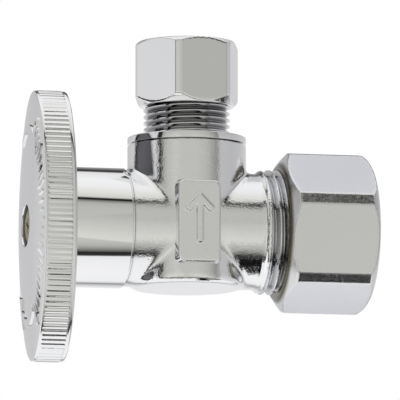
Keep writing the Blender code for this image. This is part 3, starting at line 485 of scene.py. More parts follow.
outlet_port = lathe("outlet_port", [
    (0, OUTLET_END + 1 * MM), (6.6 * MM, OUTLET_END + 1 * MM), (4.88 * MM, OUTLET_END - 0.8 * MM),
    (4.88 * MM, 19.5 * MM), (3.75 * MM, 19.5 * MM), (3.75 * MM, OUTLET_LOW - 1 * MM),
    (0, OUTLET_LOW - 1 * MM)], "Z", segments=96)
machine(outlet_adapter, ("UNION", outlet_thread), ("DIFFERENCE", outlet_port))
smooth(outlet_adapter)
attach(outlet_adapter, "valve")
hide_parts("outlet_adapter")
turned_chrome = chrome("turned_chrome", ripple_size=3.0 * MM, ripple_height=0.004 * MM,
                       fine_size=0.35 * MM, fine_height=0.0006 * MM, haze=0.03)
# Painted shade in the grooves of the outlet thread, darker up towards the outlet nut.
paint_groove_shade(turned_chrome, along="Z", root=OUTLET_ROOT, crest=OUTLET_CREST + 0.12 * MM,
                low=FLANGE_HIGH, high=FLANGE_HIGH + 4 * MM, stain_and_shade=(0.17, 0.17, 0.18))
dress(outlet_adapter, turned_chrome)

# Bonnet: a turned brass sleeve screwed into the boss on the handle side. It holds the stem, and a pocket in
# its outer end gives the handle's lug its two stops.
BONNET_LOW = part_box("bonnet")[0].x - CROSSING.x
BONNET_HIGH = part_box("bonnet")[1].x - CROSSING.x
BONNET_RADIUS = (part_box("bonnet")[1].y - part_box("bonnet")[0].y) / 2
bonnet_face = BODY_BOSS_END - 0.07 * MM
bonnet = lathe("bonnet_sleeve", [
    (4.9 * MM, BONNET_HIGH), (7.0 * MM, BONNET_HIGH), (7.0 * MM, BONNET_HIGH - 0.6 * MM),
    (6.0 * MM, BONNET_HIGH - 0.6 * MM), (6.0 * MM, BONNET_HIGH - 1.9 * MM),
    (7.0 * MM, BONNET_HIGH - 1.9 * MM), (7.0 * MM, bonnet_face), (BONNET_RADIUS - 0.5 * MM, bonnet_face),
    (BONNET_RADIUS, bonnet_face - 0.4 * MM, 0.15 * MM), (BONNET_RADIUS, BONNET_LOW + 1.1 * MM, 0.3 * MM),
    (BONNET_RADIUS - 0.6 * MM, BONNET_LOW, 0.15 * MM), (5.5 * MM, BONNET_LOW, 0.15 * MM),
    (5.5 * MM, -18.1 * MM), (3.9 * MM, -18.1 * MM), (3.9 * MM, -10.5 * MM), (4.9 * MM, -10.5 * MM)],
    "X", closed=True, segments=192)


def ring_sector(name, outer, inner, first, sweep, steps, low, high):
    """Sector of a ring, in degrees round the bonnet's axis and from one height on it to another."""
    turns = [math.radians(first + sweep * step / steps) for step in range(steps + 1)]
    outline = [(outer * math.cos(turn), outer * math.sin(turn)) for turn in turns]
    outline += [(inner * math.cos(turn), inner * math.sin(turn)) for turn in reversed(turns)]
    bm = bmesh.new()
    bm.faces.new([bm.verts.new((x, y, low)) for x, y in outline])
    thicken(bm, list(bm.faces), (0, 0, high - low))
    bmesh.ops.recalc_face_normals(bm, faces=bm.faces)
    to_place(bm, "X")
    return linked(name, bm)


pocket = ring_sector("pocket", outer=7.5 * MM, inner=5.2 * MM, first=-17, sweep=124, steps=40,
                     low=BONNET_LOW - 1 * MM, high=-18.3 * MM)
machine(bonnet, ("DIFFERENCE", pocket))
smooth(bonnet)
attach(bonnet, "valve")
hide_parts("bonnet")
dress(bonnet, chrome("sleeve_chrome", ripple_size=4.0 * MM, ripple_height=0.005 * MM,
                     fine_size=0.35 * MM, fine_height=0.0004 * MM, haze=0.02))

# Handle: a zinc die casting, polished and chrome plated. The face is an oval crown with a hole for the
# screw, the rim is ribbed for grip, and the back is hollow round a hub that fits the stem's square.
HANDLE_LOW, HANDLE_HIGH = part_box("handle")
HALF_LENGTH = (HANDLE_HIGH.z - HANDLE_LOW.z) / 2
HALF_WIDTH = (HANDLE_HIGH.y - HANDLE_LOW.y) / 2
CROWN = HANDLE_LOW.x - CROSSING.x
HANDLE_BACK = -20.6 * MM
DROP_LENGTH = 1.1 * MM
DROP_WIDTH = 1.2 * MM
RIM_INSET = 0.36 * MM
WELL = 3.45 * MM
RIBS = 120
RIB_POINTS = 8
RIB_HEIGHT = 0.095 * MM
HUB = 5.2 * MM


def crown_height(angle, share):
    """How far the face has fallen from its middle, at a share of the way to the rim."""
    drop = DROP_LENGTH * math.cos(angle) ** 2 + DROP_WIDTH * math.sin(angle) ** 2
    return CROWN + drop * share ** 2


def even_turns(count):
    """Angles that divide the oval rim into equal lengths, so the ribs keep one width all round."""
    fine = 7200
    lengths = [0.0]
    for step in range(fine):
        angle = 2 * math.pi * (step + 0.5) / fine
        lengths.append(lengths[-1] + math.hypot(HALF_LENGTH * math.sin(angle), HALF_WIDTH * math.cos(angle)))
    turns = []
    step = 0
    for number in range(count):
        while lengths[step] < lengths[-1] * number / count:
            step += 1
        turns.append(2 * math.pi * step / fine)
    return turns


def handle_ring(bm, previous, half_length, half_width, height, ribs=0.0, rough=0.0):
    """Carry the last ring of edges on to the next section of the handle."""
    turn = bm.verts.layers.float["turn"]
    phase = bm.verts.layers.float["phase"]
    unpolished_and_shaded = bm.verts.layers.float["unpolished_and_shaded"]
    if previous is None:
        turns = even_turns(RIBS * RIB_POINTS)
        bmesh.ops.create_circle(bm, cap_ends=False, segments=RIBS * RIB_POINTS, radius=1)
        bm.verts.ensure_lookup_table()
        for number, angle in enumerate(turns):
            bm.verts[number][turn] = angle
            bm.verts[number][phase] = 2 * math.pi * number / RIB_POINTS
        ring = list(bm.edges)
    else:
        grown = bmesh.ops.extrude_edge_only(bm, edges=previous)["geom"]
        ring = [item for item in grown if isinstance(item, bmesh.types.BMEdge)]
        fresh = {item for item in grown if isinstance(item, bmesh.types.BMVert)}
        ring = [edge for edge in ring if edge.verts[0] in fresh and edge.verts[1] in fresh]
    for vert in {vert for edge in ring for vert in edge.verts}:
        angle = vert[turn]
        uneven = 1 + 0.45 * math.sin(0.173 * vert[phase]) * math.sin(0.0431 * vert[phase])
        inset = ribs * uneven * (0.5 - 0.5 * math.cos(vert[phase])) ** 1.4
        # Sections given as rough are the handle's inside. They are rougher and are also painted darker as
        # shade.
        vert[unpolished_and_shaded] = rough
        level = height(angle) if callable(height) else height
        vert.co = ((half_length - inset) * math.cos(angle), (half_width - inset) * math.sin(angle), level)
    return ring


def face_share(share, lift=0.0):
    """Section of the crowned face between the screw's well and the rim."""
    length = WELL + (HALF_LENGTH - RIM_INSET - WELL) * share
    width = WELL + (HALF_WIDTH - RIM_INSET - WELL) * share
    return length, width, lambda angle: crown_height(angle, share) + lift


def rim_section(inset, depth, ribs=0.0, rough=0.0):
    """Section a given way in from the rim and behind the edge of the face."""
    length = HALF_LENGTH - inset
    width = HALF_WIDTH - inset
    return length, width, lambda angle: crown_height(angle, 1.0) + depth, ribs, rough


def back_section(inset, depth, ribs=0.0, rough=0.0):
    """Section a given way in from the rim and in front of the handle's back."""
    return HALF_LENGTH - inset, HALF_WIDTH - inset, HANDLE_BACK - depth, ribs, rough


def hub_section(radius, height):
    """Round section as cast, at a height on the handle's axis."""
    return radius, radius, height, 0.0, 1.0


bm = bmesh.new()
for layer in ("turn", "phase", "unpolished_and_shaded"):
    bm.verts.layers.float.new(layer)
sections = [hub_section(WELL - 0.02 * MM, -23.4 * MM), hub_section(WELL, -23.5 * MM),
            hub_section(WELL, CROWN + 0.3 * MM),
            (WELL + 0.02 * MM, WELL + 0.02 * MM, CROWN + 0.1 * MM),
            (WELL + 0.12 * MM, WELL + 0.12 * MM, CROWN)]
sections += [face_share(0.02 + 0.98 * step / 16) for step in range(1, 17)]
sections += [rim_section(0.24 * MM, 0.03 * MM), rim_section(0.12 * MM, 0.10 * MM),
             rim_section(0.05 * MM, 0.22 * MM), rim_section(0.04 * MM, 0.34 * MM),
             rim_section(0.06 * MM, 0.46 * MM, RIB_HEIGHT * 0.3),
             rim_section(0.02 * MM, 0.60 * MM, RIB_HEIGHT),
             rim_section(0, 0.9 * MM, RIB_HEIGHT), back_section(0, 1.0 * MM, RIB_HEIGHT),
             back_section(0.02 * MM, 0.86 * MM, RIB_HEIGHT), back_section(0.12 * MM, 0.76 * MM),
             back_section(0.07 * MM, 0.62 * MM), back_section(0.07 * MM, 0.3 * MM),
             back_section(0.18 * MM, 0.08 * MM), back_section(0.36 * MM, 0), back_section(1.1 * MM, 0),
             back_section(1.35 * MM, 0.25 * MM, 0.0, 1.0), rim_section(1.6 * MM, 2.2 * MM, 0.0, 1.0),
             rim_section(1.8 * MM, 1.7 * MM, 0.0, 1.0), rim_section(2.4 * MM, 1.45 * MM, 0.0, 1.0),
             hub_section(HUB + 1.2 * MM, CROWN + 1.45 * MM), hub_section(HUB + 0.4 * MM, CROWN + 1.6 * MM),
             hub_section(HUB, CROWN + 2.2 * MM), hub_section(HUB, -18.9 * MM),
             hub_section(HUB - 0.2 * MM, -18.7 * MM),
             hub_section(2.95 * MM, -18.7 * MM), hub_section(2.95 * MM, -22.4 * MM),
             hub_section(1.3 * MM, -22.4 * MM), hub_section(1.3 * MM, -23.4 * MM)]
ring = None
for section in sections:
    ring = handle_ring(bm, ring, *section)
loose = [edge for edge in bm.edges if edge.is_boundary]
bmesh.ops.bridge_loops(bm, edges=loose)
bmesh.ops.recalc_face_normals(bm, faces=bm.faces)
to_place(bm, "X")
handle = linked("handle_casting", bm, sharp=40)
lug = ring_sector("lug", outer=7.2 * MM, inner=4.6 * MM, first=-15, sweep=30, steps=12,
                  low=-21.2 * MM, high=-19.0 * MM)
machine(handle, ("UNION", lug))
smooth(handle, 40)
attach(handle, "handle_and_stem")
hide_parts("handle")
handle_chrome = chrome("cast_chrome", ripple_size=2.6 * MM, ripple_height=0.016 * MM,
                       fine_size=0.35 * MM, fine_height=0.008 * MM, haze=0.08)
# The handle's hollow back, its hub and the screw's well are rougher, and are painted darker as shade, for
# they lie in the handle's own shadow.
inside = handle_chrome.node_tree.nodes.new("ShaderNodeAttribute")
inside.attribute_name = "unpolished_and_shaded"
overlay(handle_chrome, "Base Color", inside.outputs["Fac"], (0.31, 0.31, 0.33))
overlay(handle_chrome, "Roughness", inside.outputs["Fac"], (0.5, 0.5, 0.5))
dress(handle, handle_chrome)

# Turn marks: a scale of short ticks and two curved arrows, raised in the casting of the handle's face. They
# follow its oval and its crown, and share its finish.
MARK_HEIGHT = 0.26 * MM
MARK_SINK = 0.1 * MM
TICKS = 25
TICK_STEP = 4.6


def face_mark(bm, start, end, width_at, across_share, steps):
    """One raised stroke that follows the oval face between two angles."""
    grid = bmesh.ops.create_grid(bm, x_segments=steps, y_segments=2, size=0.5)["verts"]
    for vert in grid:
        along = vert.co.x + 0.5
        angle = start + (end - start) * along
        share = across_share + vert.co.y * width_at(along)
        length, width, height = face_share(share, MARK_SINK)
        vert.co = (length * math.cos(angle), width * math.sin(angle), height(angle))
    faces = list({face for vert in grid for face in vert.link_faces})
    thicken(bm, faces, (0, 0, -MARK_HEIGHT - MARK_SINK))


bm = bmesh.new()
for number in range(TICKS):
    middle = math.radians(-90 + (number - TICKS // 2) * TICK_STEP)
    length = 0.24 if number % 4 == 0 else 0.14
    face_mark(bm, middle - 0.013, middle + 0.013, lambda along: length, 0.80, 2)
for side in (0, math.pi):
    face_mark(bm, side - 0.50, side + 0.50, lambda along: 0.07, 0.68, 24)
    face_mark(bm, side + 0.50, side + 0.84, lambda along: 0.30 * (1 - along) + 0.004, 0.68, 8)
bmesh.ops.recalc_face_normals(bm, faces=bm.faces)
to_place(bm, "X")
turn_marks = linked("handle_turn_marks", bm)
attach(turn_marks, "handle_and_stem")
dress(turn_marks, handle_chrome)

# Handle screw: a small pan-head machine screw of dull brass, down in the handle's well. Its cross slot is
# milled, and stands a little off square as it was driven.
SCREW_LOW, SCREW_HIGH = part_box("handle_screw")
head_front = SCREW_LOW.x - CROSSING.x - 0.45 * MM
screw_end = SCREW_HIGH.x - CROSSING.x
head_radius = (SCREW_HIGH.y - SCREW_LOW.y) / 2
head_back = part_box("screw_lock_washer")[0].x - CROSSING.x - 0.1 * MM
handle_screw = lathe("handle_screw_turned", [
    (0, screw_end), (1.1 * MM, screw_end, 0.3 * MM), (1.1 * MM, head_back),
    (head_radius, head_back, 0.1 * MM), (head_radius, head_front + 0.35 * MM, 0.4 * MM),
    (head_radius - 0.9 * MM, head_front, 0.8 * MM),
    (0, head_front)], "X", segments=96)
for turn in (0, math.pi / 2):
    bm = bmesh.new()
    bmesh.ops.create_cube(bm, size=1)
    bmesh.ops.scale(bm, vec=(2.4 * MM, 0.6 * MM, 1.8 * MM), verts=bm.verts)
    bmesh.ops.rotate(bm, verts=bm.verts, cent=(0, 0, 0), matrix=Matrix.Rotation(turn + 0.4, 3, "Z"))
    bmesh.ops.translate(bm, verts=bm.verts, vec=(0, 0, head_front))
    to_place(bm, "X")
    machine(handle_screw, ("DIFFERENCE", linked("driver_slot", bm)))
smooth(handle_screw)
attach(handle_screw, "handle_and_stem")
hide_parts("handle_screw")


def bare_finish_group():
    """Marks of the tool over the surface, and stains in larger patches."""
    group, given, result = effect_group(
        "marks and stains", {"Vector": "Vector", "Grain": "Float", "Rough": "Float"},
        {"Stain": "Float", "Roughness": "Float", "Height": "Float"})
    take = given.outputs
    stain_and_shade = noise(group, take["Vector"], maths(group, "DIVIDE", 0.25, take["Grain"]), 5)
    marks = noise(group, take["Vector"], maths(group, "DIVIDE", 1.0, take["Grain"]), 3)
    uneven = group.nodes.new("ShaderNodeMapRange")
    uneven.inputs["To Min"].default_value = 0.75
    uneven.inputs["To Max"].default_value = 1.3
    group.links.new(marks, uneven.inputs["Value"])
    rough = maths(group, "MULTIPLY", uneven.outputs["Result"], take["Rough"])
    group.links.new(stain_and_shade, result.inputs["Stain"])
    group.links.new(rough, result.inputs["Roughness"])
    group.links.new(marks, result.inputs["Height"])
    return group


bare_finish = bare_finish_group()


def bare(name, colour, dark, metallic, rough, grain, depth):
    """An unplated finish in two shades of one colour; grain and depth are in metres."""
    material, finish = metal(name, bare_finish, {"Grain": grain, "Rough": rough}, metallic)
    tree = material.node_tree
    shader = tree.nodes["Principled BSDF"]
    shades = tree.nodes.new("ShaderNodeMix")
    shades.data_type = "RGBA"
    shades.inputs["A"].default_value = (*colour, 1)
    shades.inputs["B"].default_value = (*dark, 1)
    tree.links.new(finish.outputs["Stain"], shades.inputs["Factor"])
    tree.links.new(shades.outputs["Result"], shader.inputs["Base Color"])
    tree.links.new(finish.outputs["Roughness"], shader.inputs["Roughness"])
    relief(material, finish.outputs["Height"], depth)
    return material


dull_brass = bare("dull_brass", colour=(0.62, 0.56, 0.44), dark=(0.34, 0.30, 0.22), metallic=0.7,
                  rough=0.6, grain=0.25 * MM, depth=0.02 * MM)
dress(handle_screw, dull_brass)

# Ferrules: turned rings of soft brass, tapered at both ends. Each is loose between its nut and the mouth of
# the thread until the nut squeezes it on to the tube.
bare_brass = bare("bare_brass", colour=(0.80, 0.60, 0.30), dark=(0.62, 0.43, 0.20), metallic=1.0,
                  rough=0.22, grain=0.2 * MM, depth=0.004 * MM)


def span(node, along):
    """Where a piece starts and ends along its port's axis."""
    low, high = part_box(node)
    if along == "X":
        return low.x - CROSSING.x, high.x - CROSSING.x
    return low.z, high.z


for node, along, body, inner in (("inlet_ferrule", "X", "inlet_sleeve", 8.03 * MM),
                                 ("outlet_ferrule", "Z", "outlet_sleeve", 4.86 * MM)):
    start, end = span(node, along)
    outer = (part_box(node)[1].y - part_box(node)[0].y) / 2
    edge = inner + 0.35 * (outer - inner)
    ferrule = lathe(f"{node}_ring", [
        (inner, end), (edge, end, 0.05 * MM), (outer, end - 1.0 * MM, 0.4 * MM),
        (outer, start + 0.8 * MM, 0.4 * MM), (edge, start, 0.05 * MM), (inner, start)],
        along, closed=True, segments=128)
    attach(ferrule, body)
    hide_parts(node)
    dress(ferrule, bare_brass)

# Coupling nuts: machined from hexagonal brass bar, chamfered at both ends, threaded, with a cone inside
# that squeezes the ferrule. The plating has rounded their corners a little.


def coupling_nut(name, node, along, flats, flat_angle, outline, corner_round, thread, bore, voxel, passes):
    """Hexagonal bar, turned to its outline, bored and threaded, then polished."""
    start, end = span(node, along)
    bm = bmesh.new()
    bmesh.ops.create_cone(bm, cap_ends=True, cap_tris=False, segments=6, radius1=flats / math.sqrt(3),
                          radius2=flats / math.sqrt(3), depth=end - start + 1 * MM)
    long_edges = [edge for edge in bm.edges if abs((edge.verts[0].co - edge.verts[1].co).z) > 1 * MM]
    round_off(bm, long_edges, corner_round, 1)
    bmesh.ops.rotate(bm, verts=bm.verts, cent=(0, 0, 0), matrix=Matrix.Rotation(flat_angle, 3, "Z"))
    bmesh.ops.translate(bm, verts=bm.verts, vec=(0, 0, (start + end) / 2))
    to_place(bm, along)
    nut = linked(name, bm)
    envelope = lathe("envelope", [(0, end)] + outline(start, end) + [(0, start)], along, segments=256)
    machine(nut, ("INTERSECT", envelope))
    bore_tool = lathe("bore_tool", bore(start, end), along, segments=160)
    machine(nut, ("DIFFERENCE", bore_tool))
    soften(nut, voxel, passes)
    root, crest, pitch, first, last = thread
    tap = screw_thread("tap", root, crest, pitch, first, last, along, crest_flat=0.2)
    tap_trim = lathe("tap_trim", [(0, last), (crest + 0.5 * MM, last), (crest + 0.5 * MM, start - 1 * MM),
                                  (0, start - 1 * MM)], along)
    machine(tap, ("INTERSECT", tap_trim))
    machine(nut, ("DIFFERENCE", tap))
    return smooth(nut, 38)


THREAD_GAP = 0.25 * MM
INLET_FLATS = 23.81 * MM
INLET_CORNER = INLET_FLATS / math.sqrt(3) - 0.2 * MM
inlet_nut = coupling_nut(
    "inlet_nut_hexagon", "inlet_nut", along="X", flats=INLET_FLATS, flat_angle=math.radians(11 - 90),
    outline=lambda start, end: [
        (11.75 * MM, end), (12.5 * MM, end - 0.42 * MM), (13.1 * MM, end - 1.05 * MM),
        (INLET_CORNER, end - 1.9 * MM), (INLET_CORNER, start + 1.85 * MM), (10.9 * MM, start)],
    corner_round=1.15 * MM,
    thread=(INLET_ROOT + THREAD_GAP, INLET_CREST + THREAD_GAP, INLET_PITCH, 11.9 * MM, 24.7 * MM),
    bore=lambda start, end: [
        (0, end + 1 * MM), (8.17 * MM, end + 1 * MM), (8.17 * MM, end - 1.85 * MM),
        (9.35 * MM, end - 3.0 * MM), (9.35 * MM, 25.7 * MM), (10.55 * MM, 25.1 * MM),
        (10.55 * MM, 24.1 * MM), (9.3 * MM, 24.1 * MM), (9.3 * MM, start - 1 * MM), (0, start - 1 * MM)],
    voxel=0.19 * MM, passes=1)
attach(inlet_nut, "inlet_coupling_nut")
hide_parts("inlet_nut")
large_bar = chrome("bar_chrome_large", ripple_size=2.4 * MM, ripple_height=0.010 * MM,
                   fine_size=0.22 * MM, fine_height=0.030 * MM, haze=0.04, tint=(0.775, 0.775, 0.78))
# Painted shade on the inlet nut's nose cone, in a dark brownish tint.
paint_groove_shade(large_bar, along="X", root=11.35 * MM, crest=11.88 * MM, low=14.4 * MM, high=15.2 * MM,
                stain_and_shade=(0.13, 0.115, 0.08))
dress(inlet_nut, large_bar)

OUTLET_FLATS = 15.875 * MM
OUTLET_CORNER = OUTLET_FLATS / math.sqrt(3) - 0.12 * MM
outlet_nut = coupling_nut(
    "outlet_nut_hexagon", "outlet_nut", along="Z", flats=OUTLET_FLATS, flat_angle=math.radians(39),
    outline=lambda start, end: [
        (7.9 * MM, end), (OUTLET_CORNER, end - 0.85 * MM), (OUTLET_CORNER, start + 1.4 * MM),
        (7.7 * MM, start)],
    corner_round=0.5 * MM,
    thread=(OUTLET_ROOT + THREAD_GAP, OUTLET_CREST + THREAD_GAP, OUTLET_PITCH,
            FLANGE_HIGH + 0.25 * OUTLET_PITCH, 27.7 * MM),
    bore=lambda start, end: [
        (0, end + 1 * MM), (4.98 * MM, end + 1 * MM), (4.98 * MM, end - 1.1 * MM),
        (5.88 * MM, end - 2.0 * MM), (5.88 * MM, 28.7 * MM), (7.38 * MM, 28.1 * MM),
        (7.38 * MM, 27.1 * MM), (6.4 * MM, 27.1 * MM), (6.4 * MM, start - 1 * MM), (0, start - 1 * MM)],
    voxel=0.15 * MM, passes=2)
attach(outlet_nut, "outlet_coupling_nut")
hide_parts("outlet_nut")
dress(outlet_nut, chrome("bar_chrome_small", ripple_size=2.0 * MM, ripple_height=0.008 * MM,
                         fine_size=0.4 * MM, fine_height=0.003 * MM, haze=0.04))

# Inside pieces: the plated ball in its two white seats, the brass stem, the rubber rings, the slippery thrust
# washer and the spring washer under the screw. They stay as the bench drawing has them.
hard_chrome = chrome("lapped_chrome", ripple_size=2.0 * MM, ripple_height=0.001 * MM,
                     fine_size=0.3 * MM, fine_height=0.0003 * MM, haze=0.05)
waxy_white = bare("waxy_white", colour=(0.86, 0.86, 0.83), dark=(0.80, 0.80, 0.76), metallic=0.0,
                  rough=0.42, grain=0.4 * MM, depth=0.004 * MM)
seal_rubber = bare("seal_rubber", colour=(0.022, 0.022, 0.022), dark=(0.035, 0.034, 0.033), metallic=0.0,
                   rough=0.55, grain=0.15 * MM, depth=0.006 * MM)
washer_steel = bare("washer_steel", colour=(0.55, 0.56, 0.58), dark=(0.42, 0.43, 0.44), metallic=1.0,
                    rough=0.3, grain=0.2 * MM, depth=0.004 * MM)
inside_finishes = {
    "ball": hard_chrome, "stem": bare_brass, "upper_seat": waxy_white, "lower_seat": waxy_white,
    "thrust_washer": waxy_white, "screw_lock_washer": washer_steel, "seat_seal": seal_rubber,
    "adapter_seal": seal_rubber, "bonnet_seal": seal_rubber, "stem_o_ring_inner": seal_rubber,
    "stem_o_ring_outer": seal_rubber}
for node, finish in inside_finishes.items():
    dress(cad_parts[node], finish)

# Camera: a long lens from the handle side, a little below the valve, so that all the pieces are seen almost
# without perspective.
CAMERA_AZIMUTH = math.radians(-12)
CAMERA_ELEVATION = math.radians(-7.9)
CAMERA_DISTANCE = 1.7
CAMERA_FIELD = 66.0 * MM
camera_back = Vector((math.sin(CAMERA_AZIMUTH) * math.cos(CAMERA_ELEVATION),
                      -math.cos(CAMERA_AZIMUTH) * math.cos(CAMERA_ELEVATION), math.sin(CAMERA_ELEVATION)))
camera_right = Vector((math.cos(CAMERA_AZIMUTH), math.sin(CAMERA_AZIMUTH), 0))
camera_up = camera_back.cross(camera_right)
camera_target = CROSSING + camera_right * 2.2 * MM + camera_up * 5.0 * MM
lens = bpy.data.cameras.new("long_lens")
lens.sensor_width = 36
lens.lens = lens.sensor_width * CAMERA_DISTANCE / CAMERA_FIELD
lens.clip_start = 0.05
lens.clip_end = 20
camera = bpy.data.objects.new("camera", lens)
camera.location = camera_target + camera_back * CAMERA_DISTANCE
camera.rotation_mode = "QUATERNION"
camera.rotation_quaternion = (-camera_back).to_track_quat("-Z", "Y")
bpy.context.scene.collection.objects.link(camera)
bpy.context.scene.camera = camera

# Studio: a tent of soft panels round the valve, with dark gaps between them, on a plain pale floor. The tent
# is in the world's light, so it looks the same from every piece; cards near the valve add what differs from
# piece to piece.


def tone(level, tint=(1.0, 1.0, 1.0)):
    """Linear colour of a display level from 0 to 255."""
    share = level / 255
    linear = share / 12.92 if share <= 0.04045 else ((share + 0.055) / 1.055) ** 2.4
    return (*(linear * part for part in tint), 1)


WARM = (1.0, 1.0, 0.94)
COOL = (0.985, 0.985, 1.0)
PLAIN = (1.0, 1.0, 1.0)
LAVENDER = (0.97, 0.98, 1.03)
upright_tent = [
    (-180, 236, COOL), (-152, 222, COOL), (-141, 182, PLAIN), (-136, 140, PLAIN), (-131, 218, PLAIN),
    (-125, 241, PLAIN), (-105, 244, PLAIN), (-78, 242, PLAIN), (-59.5, 236, PLAIN),
    (-57.5, 60, WARM), (-51, 29, WARM), (-48, 100, WARM), (-42, 150, WARM), (-36, 178, WARM),
    (-26, 193, WARM), (-18, 196, WARM), (0, 194, WARM), (42, 185, WARM), (51, 175, WARM), (56, 125, WARM),
    (58.5, 12, PLAIN), (61.5, 12, PLAIN), (64, 208, WARM), (74, 224, WARM), (90, 238, PLAIN),
    (108, 243, PLAIN), (134, 226, PLAIN), (139, 62, PLAIN), (148, 68, PLAIN), (162, 150, COOL)]
level_tent = [
    (-180, 208, COOL), (-165, 198, COOL), (-150, 197, COOL), (-135, 204, PLAIN), (-110, 214, PLAIN),
    (-80, 226, PLAIN), (-60.5, 216, PLAIN), (-58, 42, WARM), (-50.5, 44, WARM),
    (-48, 170, WARM), (-40, 196, WARM), (-20, 212, WARM), (0, 208, WARM), (20, 204, WARM), (40, 193, WARM),
    (50, 177, WARM), (64, 140, WARM), (66.5, 188, COOL), (70, 197, COOL), (100, 190, COOL), (127, 195, COOL),
    (148, 203, COOL), (162, 206, COOL), (175, 225, PLAIN)]
REFLECTANCE = 0.93
world = bpy.data.worlds.new("soft_tent")
bpy.context.scene.world = world
world.use_nodes = True
sky = world.node_tree
sky.nodes.clear()
direction = sky.nodes.new("ShaderNodeTexCoord")


def along_axis(axis):
    """How much of a direction lies along one of the camera's axes."""
    node = sky.nodes.new("ShaderNodeVectorMath")
    node.operation = "DOT_PRODUCT"
    node.inputs[1].default_value = axis
    sky.links.new(direction.outputs["Generated"], node.inputs[0])
    return node.outputs["Value"]


def tent_ramp(side, front, stops):
    """Levels of the tent's panels by the angle from the camera, in degrees."""
    turned = maths(sky, "DIVIDE", maths(sky, "ARCTAN2", side, front), 2 * math.pi)
    ramp = sky.nodes.new("ShaderNodeValToRGB")
    elements = ramp.color_ramp.elements
    elements[0].position = 0.0
    elements[1].position = 1.0
    for number, (degrees, level, tint) in enumerate(stops):
        place = (degrees + 180) / 360
        element = elements[0] if number == 0 else elements.new(place)
        element.position = place
        element.color = tone(level, tint)
    elements[len(elements) - 1].color = tone(stops[-1][1], stops[-1][2])
    sky.links.new(maths(sky, "ADD", turned, 0.5), ramp.inputs["Fac"])
    return ramp.outputs["Color"]


sideways = along_axis(camera_right)
upwards = along_axis(camera_up)
towards = along_axis(camera_back)
upright = tent_ramp(upwards, towards, upright_tent)
level = tent_ramp(sideways, towards, level_tent)
steepness = maths(sky, "SUBTRACT", maths(sky, "ABSOLUTE", upwards), maths(sky, "ABSOLUTE", sideways))
choice = sky.nodes.new("ShaderNodeMapRange")
choice.inputs["From Min"].default_value = -0.03
choice.inputs["From Max"].default_value = 0.03
fade = sky.nodes.new("ShaderNodeVectorMath")
fade.operation = "SCALE"
tent = sky.nodes.new("ShaderNodeMix")
tent.data_type = "RGBA"
tent_light = sky.nodes.new("ShaderNodeBackground")
tent_light.inputs["Strength"].default_value = 1 / REFLECTANCE
backdrop = sky.nodes.new("ShaderNodeBackground")
backdrop.inputs["Color"].default_value = (1, 1, 1, 1)
seen = sky.nodes.new("ShaderNodeLightPath")
either = sky.nodes.new("ShaderNodeMixShader")
output = sky.nodes.new("ShaderNodeOutputWorld")
for source, target in (
        (steepness, choice.inputs["Value"]), (level, fade.inputs[0]),
        (maths(sky, "SUBTRACT", 1.0, maths(sky, "MULTIPLY", upwards, 0.5)), fade.inputs["Scale"]),
        (choice.outputs["Result"], tent.inputs["Factor"]), (fade.outputs["Vector"], tent.inputs["A"]),
        (upright, tent.inputs["B"]), (tent.outputs["Result"], tent_light.inputs["Color"]),
        (seen.outputs["Is Camera Ray"], either.inputs["Fac"]),
        (tent_light.outputs["Background"], either.inputs[1]),
        (backdrop.outputs["Background"], either.inputs[2]),
        (either.outputs["Shader"], output.inputs["Surface"])):
    sky.links.new(source, target)


CARD_SLANT = 0.21


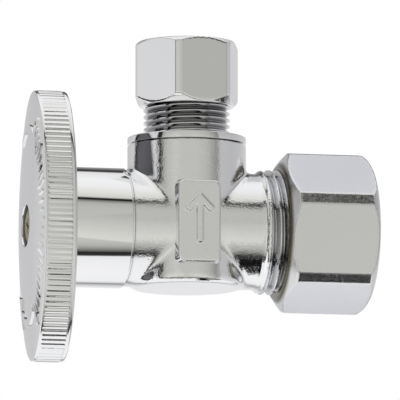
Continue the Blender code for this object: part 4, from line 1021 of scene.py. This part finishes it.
def card(name, start, tilt, reach, x_range, spread, level, tint):
    """Panel seen only in reflections, out along a line from a start; tilt is in degrees up from the front."""
    tilt = math.radians(tilt)
    outward = Vector((0, -math.cos(tilt), math.sin(tilt)))
    across = Vector((0, math.sin(tilt), math.cos(tilt)))
    middle = CROSSING + Vector((CARD_SLANT * reach, start[0], start[1])) + outward * reach
    bm = bmesh.new()
    corners = [(x_range[0], -spread), (x_range[1], -spread), (x_range[1], spread), (x_range[0], spread)]
    bm.faces.new([bm.verts.new(middle + Vector((x, 0, 0)) + across * side) for x, side in corners])
    panel = linked(name, bm)
    panel.visible_camera = False
    panel.visible_diffuse = False
    panel.visible_shadow = False
    panel.visible_transmission = False
    material = bpy.data.materials.new(name)
    material.use_nodes = True
    shader = material.node_tree.nodes["Principled BSDF"]
    shader.inputs["Base Color"].default_value = (0, 0, 0, 1)
    shader.inputs["Specular IOR Level"].default_value = 0
    shader.inputs["Emission Color"].default_value = tone(level, tint)
    shader.inputs["Emission Strength"].default_value = 1 / REFLECTANCE
    dress(panel, material)


card("dark_strip", start=(-8.5 * MM, -5.5 * MM), tilt=-74, reach=60 * MM,
     x_range=(12 * MM, 45 * MM), spread=9 * MM, level=10, tint=COOL)
card("upper_panel", start=(-7.8 * MM, 9.0 * MM), tilt=106, reach=50 * MM,
     x_range=(13 * MM, 34 * MM), spread=8 * MM, level=223, tint=LAVENDER)
card("lower_panel", start=(-3.9 * MM, -11.25 * MM), tilt=-134, reach=50 * MM,
     x_range=(13 * MM, 34 * MM), spread=7 * MM, level=236, tint=LAVENDER)
card("upper_strip", start=(-11.9 * MM, 4.1 * MM), tilt=46, reach=60 * MM,
     x_range=(12 * MM, 45 * MM), spread=6 * MM, level=12, tint=WARM)
card("branch_shade", start=(-6.5 * MM, -7.0 * MM), tilt=-81, reach=60 * MM,
     x_range=(-2 * MM, 14 * MM), spread=22 * MM, level=24, tint=COOL)
card("branch_sky", start=(-4.9 * MM, 8.2 * MM), tilt=124, reach=50 * MM,
     x_range=(-7 * MM, 14 * MM), spread=12 * MM, level=198, tint=COOL)

FLOOR_HALF_SIZE = 3
FLOOR_HEIGHT = -0.32
bm = bmesh.new()
bmesh.ops.create_grid(bm, x_segments=1, y_segments=1, size=FLOOR_HALF_SIZE)
bmesh.ops.translate(bm, verts=bm.verts, vec=(0, 0, FLOOR_HEIGHT))
floor = linked("floor", bm)
floor.visible_glossy = False
floor.visible_diffuse = False
pale = bpy.data.materials.new("pale_floor")
pale.use_nodes = True
shader = pale.node_tree.nodes["Principled BSDF"]
shader.inputs["Base Color"].default_value = (0.9, 0.9, 0.9, 1)
shader.inputs["Roughness"].default_value = 0.8
dress(floor, pale)

bpy.context.scene.view_settings.view_transform = "Standard"
